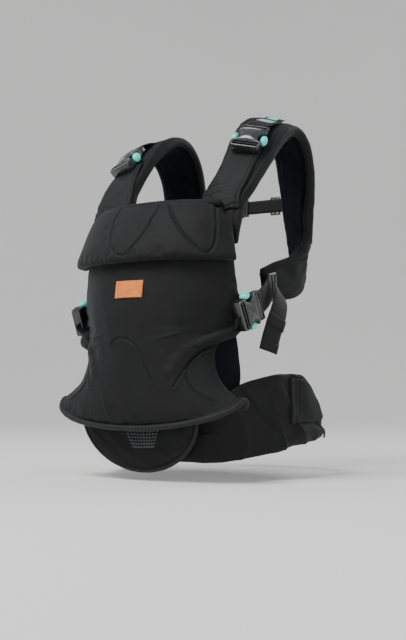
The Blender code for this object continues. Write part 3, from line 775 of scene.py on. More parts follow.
def thread_row(name, path, outs, material, pitch, size):
    """One mesh of short rounded threads, evenly spaced along a path."""
    bm = bmesh.new()
    spare = 0.0
    for start, stop, out in zip(path, path[1:], outs):
        span = stop - start
        length = span.length
        while spare < length and length > 1e-9:
            x = span.normalized()
            y = out.cross(x).normalized()
            z = x.cross(y)
            turn = Matrix((x, y, z)).transposed().to_4x4()
            spot = Matrix.Translation(start + x * spare + z * size[2] * 0.4) @ turn
            made = bmesh.ops.create_icosphere(bm, subdivisions=1, radius=0.5)
            bmesh.ops.transform(bm, matrix=spot @ Matrix.Diagonal((*size, 1)), verts=made["verts"])
            spare += pitch
        spare -= length
    return finished(name, bm, material)


def finished(name, bm, material):
    mesh = bpy.data.meshes.new(name)
    bm.to_mesh(mesh)
    bm.free()
    mesh.shade_smooth()
    mesh.materials.append(material)
    obj = bpy.data.objects.new(name, mesh)
    bpy.context.scene.collection.objects.link(obj)
    return obj


def tube(name, path, radius, material, sides=12, wobble=0.0, seed=1):
    """A round cord along a path. radius is a number, or a function of the share along it."""
    bm = bmesh.new()
    rings = []
    x = None
    last = len(path) - 1
    for i, (point, along) in enumerate(zip(path, tangents(path))):
        guess = x if x is not None else Vector((0.3, 0.2, 1))
        x = (guess - along * guess.dot(along)).normalized()
        y = along.cross(x)
        size = radius(i / last) if callable(radius) else radius
        size *= 1 + wobble * noise.noise(point * 120 + Vector((seed, 0, 0)))
        turns = [2 * pi * k / sides for k in range(sides)]
        rings.append([bm.verts.new(point + (x * cos(a) + y * sin(a)) * size) for a in turns])
    for ring, following in zip(rings, rings[1:]):
        for k in range(sides):
            m = (k + 1) % sides
            bm.faces.new((ring[k], ring[m], following[m], following[k]))
    bm.faces.new(rings[0][::-1])
    bm.faces.new(rings[-1])
    return finished(name, bm, material)


def ribbon(name, points, outward, width, material, thick=WEBBING_THICK, steps=8, columns=10, rolled=0.0):
    """Webbing along the points. rolled bows it across its width."""
    path, outs = smooth_path(points, steps), smooth_path(outward, steps)
    middle = band_surface(path, outs, [width] * len(path), columns)
    if rolled:
        bow = rolled * np.linspace(-1, 1, columns + 1) ** 2
        middle -= np.array([Vector(o).normalized() for o in outs])[:, None, :] * bow[None, :, None]
    return Sheet(name, middle, thick, thick * 0.6, material)


def own(piece, body, *nodes, slot="shell"):
    """Puts a finished piece on its body, in place of the CAD nodes it stands for."""
    obj = piece.obj if isinstance(piece, Sheet) else piece
    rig.slot(obj, slot)
    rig.ride(obj, body)
    if nodes:
        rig.replaces(obj, *nodes)
    return obj


def webbing(name, body, points, outward, width, *nodes, material=WEBBING, **shape):
    return own(ribbon(name, points, outward, width, material, **shape), body, *nodes, slot="webbing")


def piping(name, path, radius, *nodes, wobble=0.1, seed=1):
    own(tube(name, path, radius, PIPING, wobble=wobble, seed=seed), "carrier", *nodes, slot="piping")


def sewn(piece, line, name, body="carrier"):
    """A row of black stitches on a piece."""
    own(piece.stitches(line, THREAD, name=name), body, slot="webbing")


# ---------------------------------------------------------------- the panel, the collar and the seat

def share_of(across):
    return (across + 1) / 2


def both_sides(line):
    """A seam of (across, down) places and its mirror image, as (u, v) places."""
    return [[(share_of(x * side), y) for x, y in line] for side in (1, -1)]


def make_panel():
    """The padded panel. Darts shape its seat, and folds fan out from where the side straps pull."""
    middle = surface(lambda u, v: panel_point(2 * u - 1, v, -0.004), 76, 76)
    panel = Sheet("panel_cover", middle, 0.009, 0.0045, SHELL, LINING)
    dart = ((-0.19, 0.600), (-0.12, 0.568), (-0.05, 0.556), (0.04, 0.580), (0.12, 0.625), (0.20, 0.690),
            (0.26, 0.750))
    dart_line = [(share_of(x), y) for x, y in dart]
    leaf = both_sides([(0.93, 0.570), (0.82, 0.622), (0.68, 0.680), (0.57, 0.728), (0.46, 0.775)])
    inner = both_sides([(0.92, 0.610), (0.77, 0.645), (0.66, 0.690), (0.615, 0.735), (0.62, 0.790),
                        (0.67, 0.840), (0.74, 0.890)])
    panel.puff(1.6, 0.0030, slack=0.01).refine(2)

    def creases(u, v, s, t):
        side = np.abs(2 * u - 1)
        pull = near(side, v, (0.98, 0.42), (0.30, 0.12))
        fan = folds(s * np.sign(u - 0.5), t, radians(24), 0.09, 0.020, 4)
        lower = near(side, v, (0.55, 0.56), (0.30, 0.07)) * folds(s, t, radians(-12), 0.10, 0.018, 9)
        hang = near(u, v, (0.5, 0.50), (0.5, 0.28)) * folds(s, t, radians(80), 0.16, 0.050, 2)
        below = near(u, v, (0.5, 0.86), (0.42, 0.10)) * folds(s, t, radians(64), 0.10, 0.026, 13)
        lip = near(u, v, (0.5, 1.0), (0.6, 0.08)) * folds(s, t, radians(88), 0.05, 0.014, 6)
        seat = 0.0040 * near(u, v, (0.5, 0.84), (0.30, 0.12))
        return 0.0056 * pull * fan + 0.0026 * lower + 0.0010 * hang + 0.0012 * below + 0.0014 * lip + seat

    panel.relief(creases)
    for line in both_sides([(0.97, 0.495), (0.84, 0.560), (0.70, 0.612), (0.58, 0.660), (0.47, 0.715)]):
        panel.seam(line, depth=-0.0042, width=0.0110)
    for line in (dart_line, *leaf, *inner):
        panel.seam(line, depth=0.0017, width=0.0015, roll=0.0006)
    for index, line in enumerate((dart_line, *leaf)):
        sewn(panel, [(u, v + 0.012) for u, v in line], f"panel_stitches_{index}")
    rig.padded(own(panel, "carrier", "front_panel"), fill=0.5)

    turn_back = ((0.1762, -0.0805, -0.0255), (0.1745, -0.0755, -0.0310), (0.1680, -0.0735, -0.0350),
                 (0.1590, -0.0755, -0.0345), (0.1520, -0.0800, -0.0320))
    lip = [lip_point(radians(a), inward=-0.001, up=-0.002) for a in range(-90, 91, 3)]
    lip = smooth_path(mirrored(turn_back[::-1], -1) + lip + mirrored(turn_back, 1), 2)
    piping("lip_piping", lip, PIPING_RADIUS, "seat_piping")
    tape = [lip_point(radians(a), inward=0.0028, up=0.0016) for a in range(-89, 90, 2)]
    own(tube("lip_tape", tape, 0.0034, SHELL_TIGHT, wobble=0.15, seed=4), "carrier", slot="shell")
    return panel


def make_patch(panel):
    """The tan leather patch, sewn on with a border of stitches. Its face is plain."""
    across, top, bottom = 0.132, 0.279, 0.336
    place = surface(lambda u, v: panel_point((2 * u - 1) * across, top + (bottom - top) * v), 36, 22)
    patch = Sheet("patch_leather", laid_on(panel, place, 0.0012), 0.0026, 0.0012, LEATHER)
    patch.refine()
    patch.relief(lambda u, v, s, t: -0.0007 * np.exp(-((border_distance(u, v, 0.07, 0.12) / 0.03) ** 2)))
    own(patch, "carrier", "leather_patch", slot="leather")
    border = [(0.07, 0.12), (0.93, 0.12), (0.93, 0.88), (0.07, 0.88), (0.07, 0.12)]
    for index, (start, stop) in enumerate(zip(border, border[1:])):
        line = [start, ((start[0] + stop[0]) / 2, (start[1] + stop[1]) / 2), stop]
        row = patch.stitches(line, THREAD_TAN, 0.0030, (0.0023, 0.0011, 0.0009), f"patch_stitches_{index}")
        own(row, "carrier", slot="leather")


def laid_on(piece, middle, lift, reach=0.03, flip=False):
    """The surface moved along its own normals until it lies this far above an earlier piece."""
    mesh = piece.obj.data
    tree = BVHTree.FromPolygons([v.co[:] for v in mesh.vertices], [p.vertices[:] for p in mesh.polygons])
    normal = surface_normals(middle, flip)
    height = np.full(middle.shape[:2], np.nan)
    for i, j in np.ndindex(height.shape):
        start = Vector(middle[i, j] + normal[i, j] * reach)
        spot, _, _, far = tree.ray_cast(start, Vector(-normal[i, j]), 2 * reach)
        if spot is not None:
            height[i, j] = reach - far
    height = np.where(np.isnan(height), np.nanmedian(height), height)
    for _ in range(3):  # evens out small steps, and never sinks below what it lies on
        padded = np.pad(height, 1, mode="edge")
        around = (padded[:-2, 1:-1] + padded[2:, 1:-1] + padded[1:-1, :-2] + padded[1:-1, 2:]) / 4
        height = np.maximum(height, around)
    return middle + normal * (height + lift)[..., None]


def border_distance(u, v, inset_u, inset_v):
    """How far a place is from a rectangle drawn inside the sheet."""
    return np.minimum(np.abs(np.minimum(u, 1 - u) - inset_u), np.abs(np.minimum(v, 1 - v) - inset_v))


def make_collar():
    """The padded head support: two U-shaped seams, a full lower edge, and its rolled fold."""
    def point(u, v):
        across = 2 * u - 1
        lift = 0.0030 + (0.0070 + 0.0035 * v**3) * (1 - 0.35 * across**4)
        top = 0.004 + 0.085 * max(0, (abs(across) - 0.60) / 0.40) ** 1.4
        spot = panel_point(across, top + (COLLAR_DOWN - top) * v, lift)
        corner = v**2 * across**4
        return Vector((spot.x * (1 - 0.03 * corner), spot.y - 0.009 * corner, spot.z))

    middle = surface(point, 84, 34)
    depth = np.linspace(0, 1, 35)[:, None]
    thick = 0.0125 + 0.0075 * depth**3
    collar = Sheet("collar_pad", middle, thick, 0.0095, SHELL, SHELL_TIGHT)
    half_round = ((-0.30, 0.008), (-0.275, 0.09), (-0.18, 0.180), (-0.03, 0.214), (0.08, 0.165),
                  (0.15, 0.085), (0.18, 0.008))
    slanted = ((0.25, 0.008), (0.41, 0.120), (0.55, 0.185), (0.655, 0.212), (0.730, 0.190), (0.780, 0.125),
               (0.800, 0.008))
    channels = [[(share_of(x), y / COLLAR_DOWN) for x, y in line] for line in (half_round, slanted)]

    collar.puff(3.2, 0.0040, held=held_along(channels, 0.34, 0.08, 0.004), slack=0.01).refine(2)
    collar.relief(lambda u, v, s, t: 0.0016 * np.clip(3 * v - 2, 0, 1)
                  * folds(s, t, radians(86), 0.06, 0.018, 3))
    for index, line in enumerate(channels):
        collar.seam(line, depth=0.0019, width=0.0016, roll=0.0006)
        sewn(collar, [(u + 0.008, v) for u, v in line[1:-1]], f"collar_stitches_{index}", "collar")
    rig.padded(collar.obj, fill=0.7)
    own(collar, "collar", "collar")

    edge = [panel_point(i / 20, 0.0, 0.0035) + Vector((0, 0, -0.002)) for i in range(-18, 19)]
    roll = tube("collar_roll", edge, lambda share: 0.0060 + 0.0026 * sin(pi * share), SHELL, 16, wobble=0.05)
    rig.padded(own(roll, "carrier"), fill=0.8)


def make_seat():
    """The seat behind the lip, the lining beside each leg, and the padded roll over each leg opening."""
    def seat(u, v):
        angle = radians(-82 + 164 * u)
        drop = cos(angle)
        front = Vector((0.146 * sin(angle), -0.080 - 0.041 * drop, -0.016 - 0.040 * drop))
        back = Vector((0.108 * sin(angle), -0.078 - 0.004 * drop, 0.006))
        return front.lerp(back, v)

    sheet = Sheet("seat_lining", surface(seat, 40, 14), 0.0075, 0.0034, LINING, flip=True)
    sheet.refine().relief(lambda u, v, s, t: 0.0012 * folds(s, t, radians(80), 0.05, 0.02, 5))
    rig.padded(own(sheet, "carrier", "seat_base", slot="lining"), fill=0.4)

    for side, word in SIDES:
        def gusset(u, v):
            height = 0.096 - 0.132 * v
            tuck = max(0, 1 - v / 0.45) ** 2
            front = Vector((0.1145 + 0.010 * tuck, -0.0735 + 0.012 * tuck - 0.012 * v**2, height))
            wave = 0.0022 * sin(13 * v) * v
            back = Vector((0.1330 + 0.006 * v**2 + wave, -0.0300 - 0.020 * tuck, height + 0.004 * (1 - tuck)))
            bow = 0.005 * sin(pi * v) * sin(pi * u)
            return mirrored([front.lerp(back, u) + Vector((bow, 0, 0))], side)[0]

        cloth = surface(gusset, 16, 28)
        lining = Sheet(f"gusset_{word}", cloth, 0.0024, 0.0012, LINING, flip=side < 0)
        lining.refine().relief(lambda u, v, s, t: 0.0010 * folds(s, t, radians(70), 0.03, 0.012, 8))
        own(lining, "carrier", f"leg_gusset_{word}", slot="lining")
        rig.sheet(lining.obj, flat=(0.048, 0.133), held="stretched", rests_on=["panel_cover", "belt_cover"])

        route = [panel_point(x, y, lift) for x, y, lift in
                 ((0.62, 0.640, -0.005), (0.70, 0.610, 0.000), (0.78, 0.580, 0.0045), (0.86, 0.552, 0.0065),
                  (0.94, 0.520, 0.0066), (0.985, 0.490, 0.0058))]
        path = smooth_path(mirrored(route, side), 8)
        roll = tube(f"leg_roll_pad_{word}", path,
                    lambda share: 0.0020 + 0.0072 * sin(pi * min(0.86, share * 0.9)), SHELL,
                    sides=18, wobble=0.14, seed=side + 3)
        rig.padded(own(roll, "carrier", f"leg_roll_{word}"), fill=0.7)


# ---------------------------------------------------------------- the waistband

def belt_place(u):
    """Outer plan point, outward direction, bottom and top height, from the left end to the right."""
    reach = 0.36
    if u < reach or u > 1 - reach:
        side = -1 if u < reach else 1
        share = (reach - u) / reach if side < 0 else (u - 1 + reach) / reach
        plan, out, low, high = wing_frame(share)
        return mirrored([plan], side)[0], mirrored([out], side)[0], low, high
    across = (u - 0.5) / (0.5 - reach)
    bow = cos(across * pi / 2)
    return Vector((0.101 * across, -0.085 - 0.004 * bow, 0)), Vector((0, -1, 0)), -0.122, -0.030


def belt_lift(x):
    """How far the belt's lower edge is drawn up towards the wearer's right front."""
    return 0.031 * min(max((-0.030 - x) / 0.060, 0), 1) * min(max((x + 0.185) / 0.035, 0), 1)


def make_belt():
    """The padded waistband, one band from end to end, with its pocket flaps and bound ends."""
    def point(u, v):
        plan, out, low, high = belt_place(u)
        if plan.y < 0.02:
            low += belt_lift(plan.x)
        return plan - out * (BELT_THICK / 2) + Vector((0, 0, high + (low - high) * v))

    belt = Sheet("belt_cover", surface(point, 132, 26), BELT_THICK, 0.0068, SHELL, LINING)
    diagonal = [(0.25, 0.03), (0.30, 0.20), (0.36, 0.42), (0.42, 0.60), (0.45, 0.72)]
    right = [(0.64 + 0.36 * share, v) for share, v in diagonal]
    lines = [right, [(1 - u, v) for u, v in right]]

    belt.puff(3.5, 0.0045, held=held_along(lines, 0.7, 0.11, 0.005), slack=0.012).refine(2)

    def creases(u, v, s, t):
        share = (np.abs(u - 0.5) - 0.14) / 0.36
        bulge = np.exp(-(((share - 0.47) / 0.045) ** 2)) * np.clip(1.2 - np.abs(v - 0.5), 0, 1)
        roll = np.exp(-(((v - 0.80) / 0.13) ** 2)) * np.clip((share - 0.50) * 8, 0, 1)
        pinch = -np.exp(-(((v - 0.62) / 0.05) ** 2)) * np.clip((share - 0.53) * 8, 0, 1)
        soft = folds(np.abs(s), t, radians(68), 0.10, 0.030, 5) * np.clip(share * 4, 0, 1)
        fan = folds(np.abs(s), t, radians(20), 0.08, 0.016, 7) * near(share, v, (0.05, 0.25), (0.15, 0.35))
        return 0.0052 * bulge + 0.0036 * roll + 0.0034 * pinch + 0.0026 * soft + 0.0032 * fan

    belt.relief(creases)
    for index, line in enumerate(lines):
        belt.seam(line, depth=0.0017, width=0.0016, roll=0.0006)
        sewn(belt, [(u, v + 0.03) for u, v in line], f"belt_stitches_{index}")
    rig.padded(belt.obj, fill=0.7)
    own(belt, "carrier", "belt_wing_left", "belt_wing_right", "belly_pad")

    for side, word in SIDES:
        def flap_point(u, v):
            plan, out, low, high = wing_frame(0.545 + 0.400 * u)
            top, bottom = high - 0.008, low + (0.040 - 0.010 * u)
            bow = 0.0015 * sin(pi * v)
            return mirrored([plan + out * (0.0052 + bow) + Vector((0, 0, top + (bottom - top) * v))], side)[0]

        place = laid_on(belt, surface(flap_point, 40, 26), 0.0016, flip=side < 0)
        flap = Sheet(f"belt_pocket_{word}", place, 0.0030, 0.0015, SHELL_TIGHT, flip=side < 0)
        flap.refine()
        flap.relief(lambda u, v, s, t: 0.0018 * near(u, v, (0.5, 0.5), (0.40, 0.42))
                    + 0.0006 * folds(s, t, radians(75), 0.08, 0.030, 12))
        flap.seam([(0.11, 0.03), (0.11, 0.5), (0.11, 0.97)], depth=0.0008, width=0.0013, roll=0.0004)
        flap.seam([(0.03, 0.92), (0.5, 0.92), (0.97, 0.92)], depth=0.0007, width=0.0013, roll=0.0004)
        own(flap, "carrier", f"belt_flap_{word}")
        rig.sheet(flap.obj, flat=(0.094, 0.071), held="stretched", rests_on=["belt_cover"], area=0.0050)
        hem = [Vector(p) for p in place[::2, 0]]
        piping(f"belt_pocket_hem_{word}", hem, 0.0038)

        end = []
        for i in range(25):
            plan, out, low, high = wing_frame(0.995)
            share = i / 24
            end.append(plan - out * 0.004 + Vector((0, 0.002, high + (low - high) * share)))
        piping(f"belt_end_piping_{word}", mirrored(end, side), 0.0032, wobble=0.08)
        plan, out, low, _ = wing_frame(0.985)
        tab = [plan + out * lift + Vector((0, y, low + z))
               for lift, y, z in ((0.002, -0.004, 0.016), (0.005, 0.002, 0.008), (0.004, 0.004, -0.002))]
        webbing(f"belt_end_tab_{word}", "carrier", mirrored(tab, side), mirrored([out] * 3, side), 0.009,
                thick=0.0016)


def make_crescent():
    """The half-round front of the waistband, with its piping and its vent of corded mesh."""
    middle = surface(lambda u, v: crescent_point(radians(84 * (2 * u - 1)), 1.035 * v, 0.0048), 60, 26)
    front = Sheet("crescent_cover", middle, 0.0095, 0.0042, SHELL, SHELL_TIGHT)
    front.puff(2.0, 0.0025).refine()
    front.relief(lambda u, v, s, t: 0.0012 * folds(s, t, radians(35), 0.07, 0.02, 15)
                 - 0.0010 * near(u, v, (0.53, 0.34), (0.14, 0.24)))
    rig.padded(own(front, "carrier", "waist_panel"), fill=0.4)

    rim = [crescent_point(radians(a), 1, 0.0040) for a in range(-86, 87, 2)]
    rim = [p + (p - Vector((0, p.y, CRESCENT_TOP.z))).normalized() * 0.0036 for p in rim]
    piping("crescent_piping", rim, 0.0036, "waist_piping", seed=2)

    rows, columns, shift = 5, 9, 0.008

    def bead_point(u, v):
        x = shift + (0.030 - 0.010 * v) * (2 * u - 1)
        return crescent_point(asin(x / CRESCENT_HALF), 0.15 + 0.36 * v)

    bm = bmesh.new()
    for spot in laid_on(front, surface(bead_point, columns, rows), 0.0004).reshape(-1, 3):
        made = bmesh.ops.create_icosphere(bm, subdivisions=2, radius=0.5)
        bead = Matrix.Translation(spot) @ Matrix.Diagonal((0.0036, 0.0020, 0.0032, 1))
        bmesh.ops.transform(bm, matrix=bead, verts=made["verts"])
    own(finished("vent_cords", bm, VENT), "carrier", "mesh_vent", slot="mesh")


# ---------------------------------------------------------------- the straps

SEWN_STATIONS = (  # the strap goes on down behind the collar, sewn flat to the panel's edge
    ((0.120, -0.050, 0.215), (0.10, -0.99, 0.05), 0.046),
    ((0.117, -0.046, 0.252), (0.05, -0.97, 0.20), 0.060),
    ((0.113, -0.030, 0.291), (0.00, -0.86, 0.50), 0.072),
    *STRAP_STATIONS[1:],
)


def make_straps():
    """The padded shoulder straps, lined with air mesh, and the fabric sleeve up the front of each."""
    for side, word in SIDES:
        path, outs, widths = strap_path(side, 6, SEWN_STATIONS)
        middle = band_surface(path, outs, widths, 18)
        share = np.linspace(0, 1, len(path))[:, None]
        thick = PADDING_THICK * (0.55 + 0.45 * np.clip(share * 9, 0, 1))
        thick = thick * (1 - 0.35 * np.clip(share * 8 - 7, 0, 1))
        strap = Sheet(f"strap_pad_{word}", middle, thick, 0.0080, SHELL, LINING, flip=True)
        edges = [[(x, 0.01), *[(x, i / 20) for i in range(1, 20)], (x, 0.99)] for x in (0.13, 0.87)]

        def held(u, v):
            return np.where(np.minimum(np.abs(u - 0.13), np.abs(u - 0.87)) < 0.03, 0.9, 0.0)

        strap.puff(2.4, 0.0022, held=held, slack=0.012).refine()

        def creases(u, v, s, t):
            bend = near(u, v, (0.5, 0.36), (0.8, 0.10)) + near(u, v, (0.5, 0.72), (0.8, 0.10))
            ripple = 0.0008 * folds(s, t, 1.2, 0.08, 0.03, 3)
            return 0.0018 * bend * folds(s, t, radians(6), 0.06, 0.020, 21) + ripple

        strap.relief(creases)
        strap.relief(creases, front=False)
        for line in edges:
            strap.seam(line, depth=0.0016, width=0.0022, roll=0.0010, smooth=1)
            strap.seam(line, depth=0.0022, width=0.0024, roll=0.0012, smooth=1, front=False)
        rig.padded(own(strap, "carrier", f"strap_{word}"), fill=0.7)

        start, stop = 8, 27
        shares = np.linspace(0, 1, stop - start)
        sleeve_widths = 0.072 - 0.018 * shares**1.5
        middle = band_surface(path[start:stop], outs[start:stop], sleeve_widths, 26, lift=STRAP_THICK / 2)
        middle[:, :, 0] -= side * 0.005
        middle = laid_on(strap, middle, 0.0020, flip=True)
        sleeve = Sheet(f"sleeve_{word}", middle, 0.0044, 0.0021, SHELL_TIGHT, flip=True)
        sleeve.refine(2)

        def gathers(u, v, s, t):
            low = near(u, v, (0.25, 0.24), (0.45, 0.22)) * folds(s, t, radians(4), 0.040, 0.0100, 31 + side)
            high = near(u, v, (0.5, 0.95), (0.7, 0.10)) * folds(s, t, radians(-6), 0.030, 0.008, 17)
            return 0.0026 * low + 0.0005 * high + 0.0006 * folds(s, t, 1.3, 0.08, 0.022, 2)

        sleeve.relief(gathers)
        for x in (0.09, 0.91):
            sleeve.seam([(x, 0.02), (x, 0.5), (x, 0.98)], depth=0.0007, width=0.0012, roll=0.0003)
        sleeve.seam([(0.03, 0.07), (0.5, 0.035), (0.97, 0.07)], depth=0.0012, width=0.0016, roll=0.0008)
        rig.padded(own(sleeve, "carrier", f"strap_sleeve_{word}"), fill=0.3)


# ---------------------------------------------------------------- webbing

SHOULDER_BUCKLE = Vector((0.1243, 0.0185, 0.3965))
SIDE_BUCKLE = Vector((0.1615, -0.046, 0.113))
SIDE_ADJUSTER = Vector((0.1505, 0.046, 0.157))
CHEST_END = 0.100  # how far from the middle the chest strap's webbing is sewn to each shoulder strap
BUTTON_NOTCH = 0.0115  # radius of the notches beside the housing's face
WAIST_BUCKLE = Vector((0, 0.217, -0.045))
CHEST_BUCKLE = Vector((-0.022, 0.2200, 0.320))
BUCKLE_GRIPS = (0.0205, 0.0242)  # how far the webbing of the housing and of the plug stops from the middle


def shoulder_buckle_frame(side):
    """Where a shoulder buckle sits, along which line it opens, and which way it faces."""
    rise = 0.740 * (1 if side > 0 else 1 - LEFT_DROOP)
    return settled(SHOULDER_BUCKLE, side), Vector((0, 0.673, rise)), Vector((0.29 * side, -0.70, 0.65))


def side_buckle_frame(side):
    centre = mirrored([SIDE_BUCKLE], side)[0]
    return centre, Vector((0.10 * side, 0.905, 0.415)), Vector((side, -0.10, 0))


def make_side_webbing():
    """The webbing of the shoulder and side buckles, with the hanging tails and their keepers."""
    for side, word in SIDES:
        centre, along, out = shoulder_buckle_frame(side)
        along, out = along.normalized(), out.normalized()
        path, outs, _ = strap_path(side, 2)
        route, faces = [centre + along * 0.0235, centre + along * 0.0314, centre + along * 0.0400], [out] * 3
        for point, face in list(zip(path, outs))[7:9]:
            lifted = point + face.normalized() * (STRAP_THICK / 2 + 0.0032)
            route.append(Vector((centre.x, *lifted.yz)))
            faces.append(face.normalized())
        web = webbing(f"shoulder_tab_web_{word}", "carrier", route, faces, SHOULDER_WEBBING,
                      f"shoulder_{word}_tab")
        keep = 1 - SHOULDER_TRAVEL / (route[-1] - route[0]).length
        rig.squash(web, f"shoulder_{word}_release", along, route[-1], keep=keep)
        accent_path, accent_out = smooth_path(route, 8), smooth_path(faces, 8)
        raised = [p + o.normalized() * 0.0022 for p, o in zip(accent_path, accent_out)]
        for name, first, last, width, tape in (("grey", 20, 25, 0.030, GREY_TAPE),
                                               ("turquoise", 26, 32, 0.020, TURQUOISE_TAPE)):
            webbing(f"shoulder_label_{name}_{word}", "carrier", raised[first:last], accent_out[first:last],
                    width, material=tape, thick=0.0012, steps=3)

        centre, flank_along, flank_out = side_buckle_frame(side)
        flank_along, flank_out = flank_along.normalized(), flank_out.normalized()
        adjuster = mirrored([SIDE_ADJUSTER], side)[0]
        adjuster_along = Vector((-0.10 * side, 0.93, 0.16)).normalized()
        adjuster_out = Vector((side, 0.08, 0)).normalized()
        start, stop = centre + flank_along * 0.0245, adjuster - adjuster_along * 0.0100
        middle = start.lerp(stop, 0.5) + flank_out * 0.003
        web = webbing(f"side_pull_web_{word}", "carrier", [start, middle, stop],
                      [flank_out, flank_out, adjuster_out], BELT_WEBBING * SLOT_FIT, f"side_{word}_web")
        keep = 1 - SIDE_TRAVEL / (stop - start).length
        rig.squash(web, f"side_{word}_release", flank_along, stop, keep=keep)
        foot = centre - flank_along * 0.0200
        anchor = mirrored([panel_point(0.97, 0.50, 0.001)], side)[0]
        route = [anchor, anchor.lerp(foot, 0.55) + flank_out * 0.004, foot]
        webbing(f"side_anchor_web_{word}", "carrier", route, [flank_out] * 3, BELT_WEBBING * 0.92,
                thick=0.0030)
        route = [adjuster + adjuster_along * far - flank_out * deep
                 for far, deep in ((-0.002, 0), (0.016, 0.004), (0.034, 0.006))]
        webbing(f"paddle_web_{word}", "carrier", route, [adjuster_out] * 3, BELT_WEBBING * 0.94)

        top = adjuster + Vector((side, 0.08, 0)) * 0.0080 + Vector((0, 0, -0.002))
        steps = ((0, 0, 0), (0.0165, -0.016, -0.018), (0.0230, -0.036, -0.045), (0.0220, -0.052, -0.074),
                 (0.0180, -0.060, -0.104))
        drop = [top + Vector((x * side, y, z)) for x, y, z in steps]
        turns = ((0.99, 0.02, 0), (0.95, -0.25, 0), (0.91, -0.40, 0), (0.90, -0.42, 0), (0.90, -0.42, 0))
        faces = mirrored(turns, side)
        tail = f"side_{word}_tail"
        webbing(f"side_tail_web_{word}", tail, drop, faces, TAIL_WEBBING, tail, thick=0.0026, rolled=0.0012)
        path, outs = smooth_path(drop, 8), smooth_path(faces, 8)
        for name, first, last, width, thick, cloth in (("keeper", 17, 23, 0.0365, 0.0062, ELASTIC),
                                                       ("fold", 28, 33, 0.0345, 0.0056, WEBBING)):
            part = slice(first, last)
            webbing(f"side_tail_{name}_{word}", tail, path[part], outs[part], width, material=cloth,
                    thick=thick, steps=2)


def make_back_webbing():
    """The waistband's webbing, and the chest strap behind the wearer's shoulders."""
    plan, _, _, _ = wing_frame(1.0)
    for (side, word), reach in zip(SIDES, BUCKLE_GRIPS):
        route = [(plan.x - 0.0085, plan.y - 0.006, -0.066), (0.158, 0.178, -0.058), (0.112, 0.203, -0.049),
                 (0.065, 0.215, -0.045), (reach, 0.217, -0.045)]
        faces = [(0.97, 0.22, 0), (0.72, 0.69, 0), (0.42, 0.91, 0), (0.12, 0.99, 0), (0, 1, 0)]
        route, faces = mirrored(route, side), mirrored(faces, side)
        web = webbing(f"waist_pull_web_{word}", "carrier", route, faces, BELT_WEBBING * SLOT_FIT,
                      f"waist_web_{word}")
        if side > 0:
            keep = 1 - WAIST_TRAVEL / (plan.x - reach)
            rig.squash(web, "waist_release", (1, 0, 0), (plan.x, 0.15, -0.06), keep=keep)
    scale = CHEST_WEBBING / BELT_WEBBING
    for (side, word), grip in zip(SIDES, BUCKLE_GRIPS):
        end = CHEST_BUCKLE.x + side * grip * scale
        y, z = CHEST_BUCKLE.yz
        route = [(CHEST_END * side, y - 0.001, z), (0.070 * side, y + 0.001, z), (0.040 * side, y, z),
                 (end, y, z)]
        web = webbing(f"chest_pull_web_{word}", "chest_strap", route, [(0, 1, 0)] * 4,
                      CHEST_WEBBING * SLOT_FIT, f"chest_web_{word}", thick=0.0019)
        if side > 0:
            keep = 1 - CHEST_TRAVEL / (CHEST_END - end)
            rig.squash(web, "chest_release", (1, 0, 0), (CHEST_END, y, z), keep=keep)


# ---------------------------------------------------------------- the CAD hardware

def buckle_face(prefix, body, centre, along, outward, width):
    """The domed face of a side-release buckle, and the raised frame that its webbing threads through."""
    k = width / BELT_WEBBING
    y = Vector(along).normalized()
    x = y.cross(Vector(outward)).normalized()
    z = x.cross(y)

    def place(across, along_it, height):
        return Vector(centre) + (x * across + y * along_it + z * height) * k

    def dome(u, v):
        far = -0.0115 + 0.0252 * v
        notch = max(0, BUTTON_NOTCH**2 - (far + 0.001) ** 2) ** 0.5
        half = min(0.0222, 0.0262 - notch)
        crown = (1 - abs(2 * u - 1) ** 2.4) * (1 - abs(2 * v - 1) ** 3)
        return place(half * (2 * u - 1), far, 0.0068 + 0.0036 * crown)

    def plug_dome(u, v):
        crown = (1 - abs(2 * u - 1) ** 2.4) * (1 - abs(2 * v - 1) ** 3)
        return place((0.0195 + 0.002 * v) * (2 * u - 1), 0.0152 + 0.0062 * v, 0.0058 + 0.0022 * crown)

    shield = Sheet(f"{prefix}_face", surface(dome, 24, 24), 0.0030 * k, 0.0016 * k, FACE, flip=True)
    own(shield.refine(), body, slot="buckle")
    brow = Sheet(f"{prefix}_brow", surface(plug_dome, 20, 10), 0.0026 * k, 0.0013 * k, FACE, flip=True)
    own(brow.refine(), f"{prefix}_plug", slot="buckle")

    half, low, high, corner = 0.0228, -0.0262, -0.0128, 0.0035
    loop = [(0, high)]
    for cx, cy, start in ((half, high, 90), (half, low, 0), (-half, low, -90), (-half, high, -180)):
        middle = (cx - corner * (1 if cx > 0 else -1), cy - corner * (1 if cy == high else -1))
        for step in range(5):
            angle = radians(start - 22.5 * step)
            loop.append((middle[0] + corner * cos(angle), middle[1] + corner * sin(angle)))
    loop.append((0, high))
    rim = [place(px, py, 0.0074) for px, py in loop]
    own(tube(f"{prefix}_rim", rim, 0.0014 * k, RIM, sides=10), body, slot="buckle")


def dress_buckles():
    for side, word in SIDES:
        buckle_face(f"shoulder_{word}", "carrier", *shoulder_buckle_frame(side), BELT_WEBBING)
        buckle_face(f"side_{word}", "carrier", *side_buckle_frame(side), BELT_WEBBING)
    buckle_face("waist", "carrier", WAIST_BUCKLE, (1, 0, 0), (0, 1, 0), BELT_WEBBING)
    buckle_face("chest", "chest_strap", CHEST_BUCKLE, (1, 0, 0), (0, 1, 0), CHEST_WEBBING)


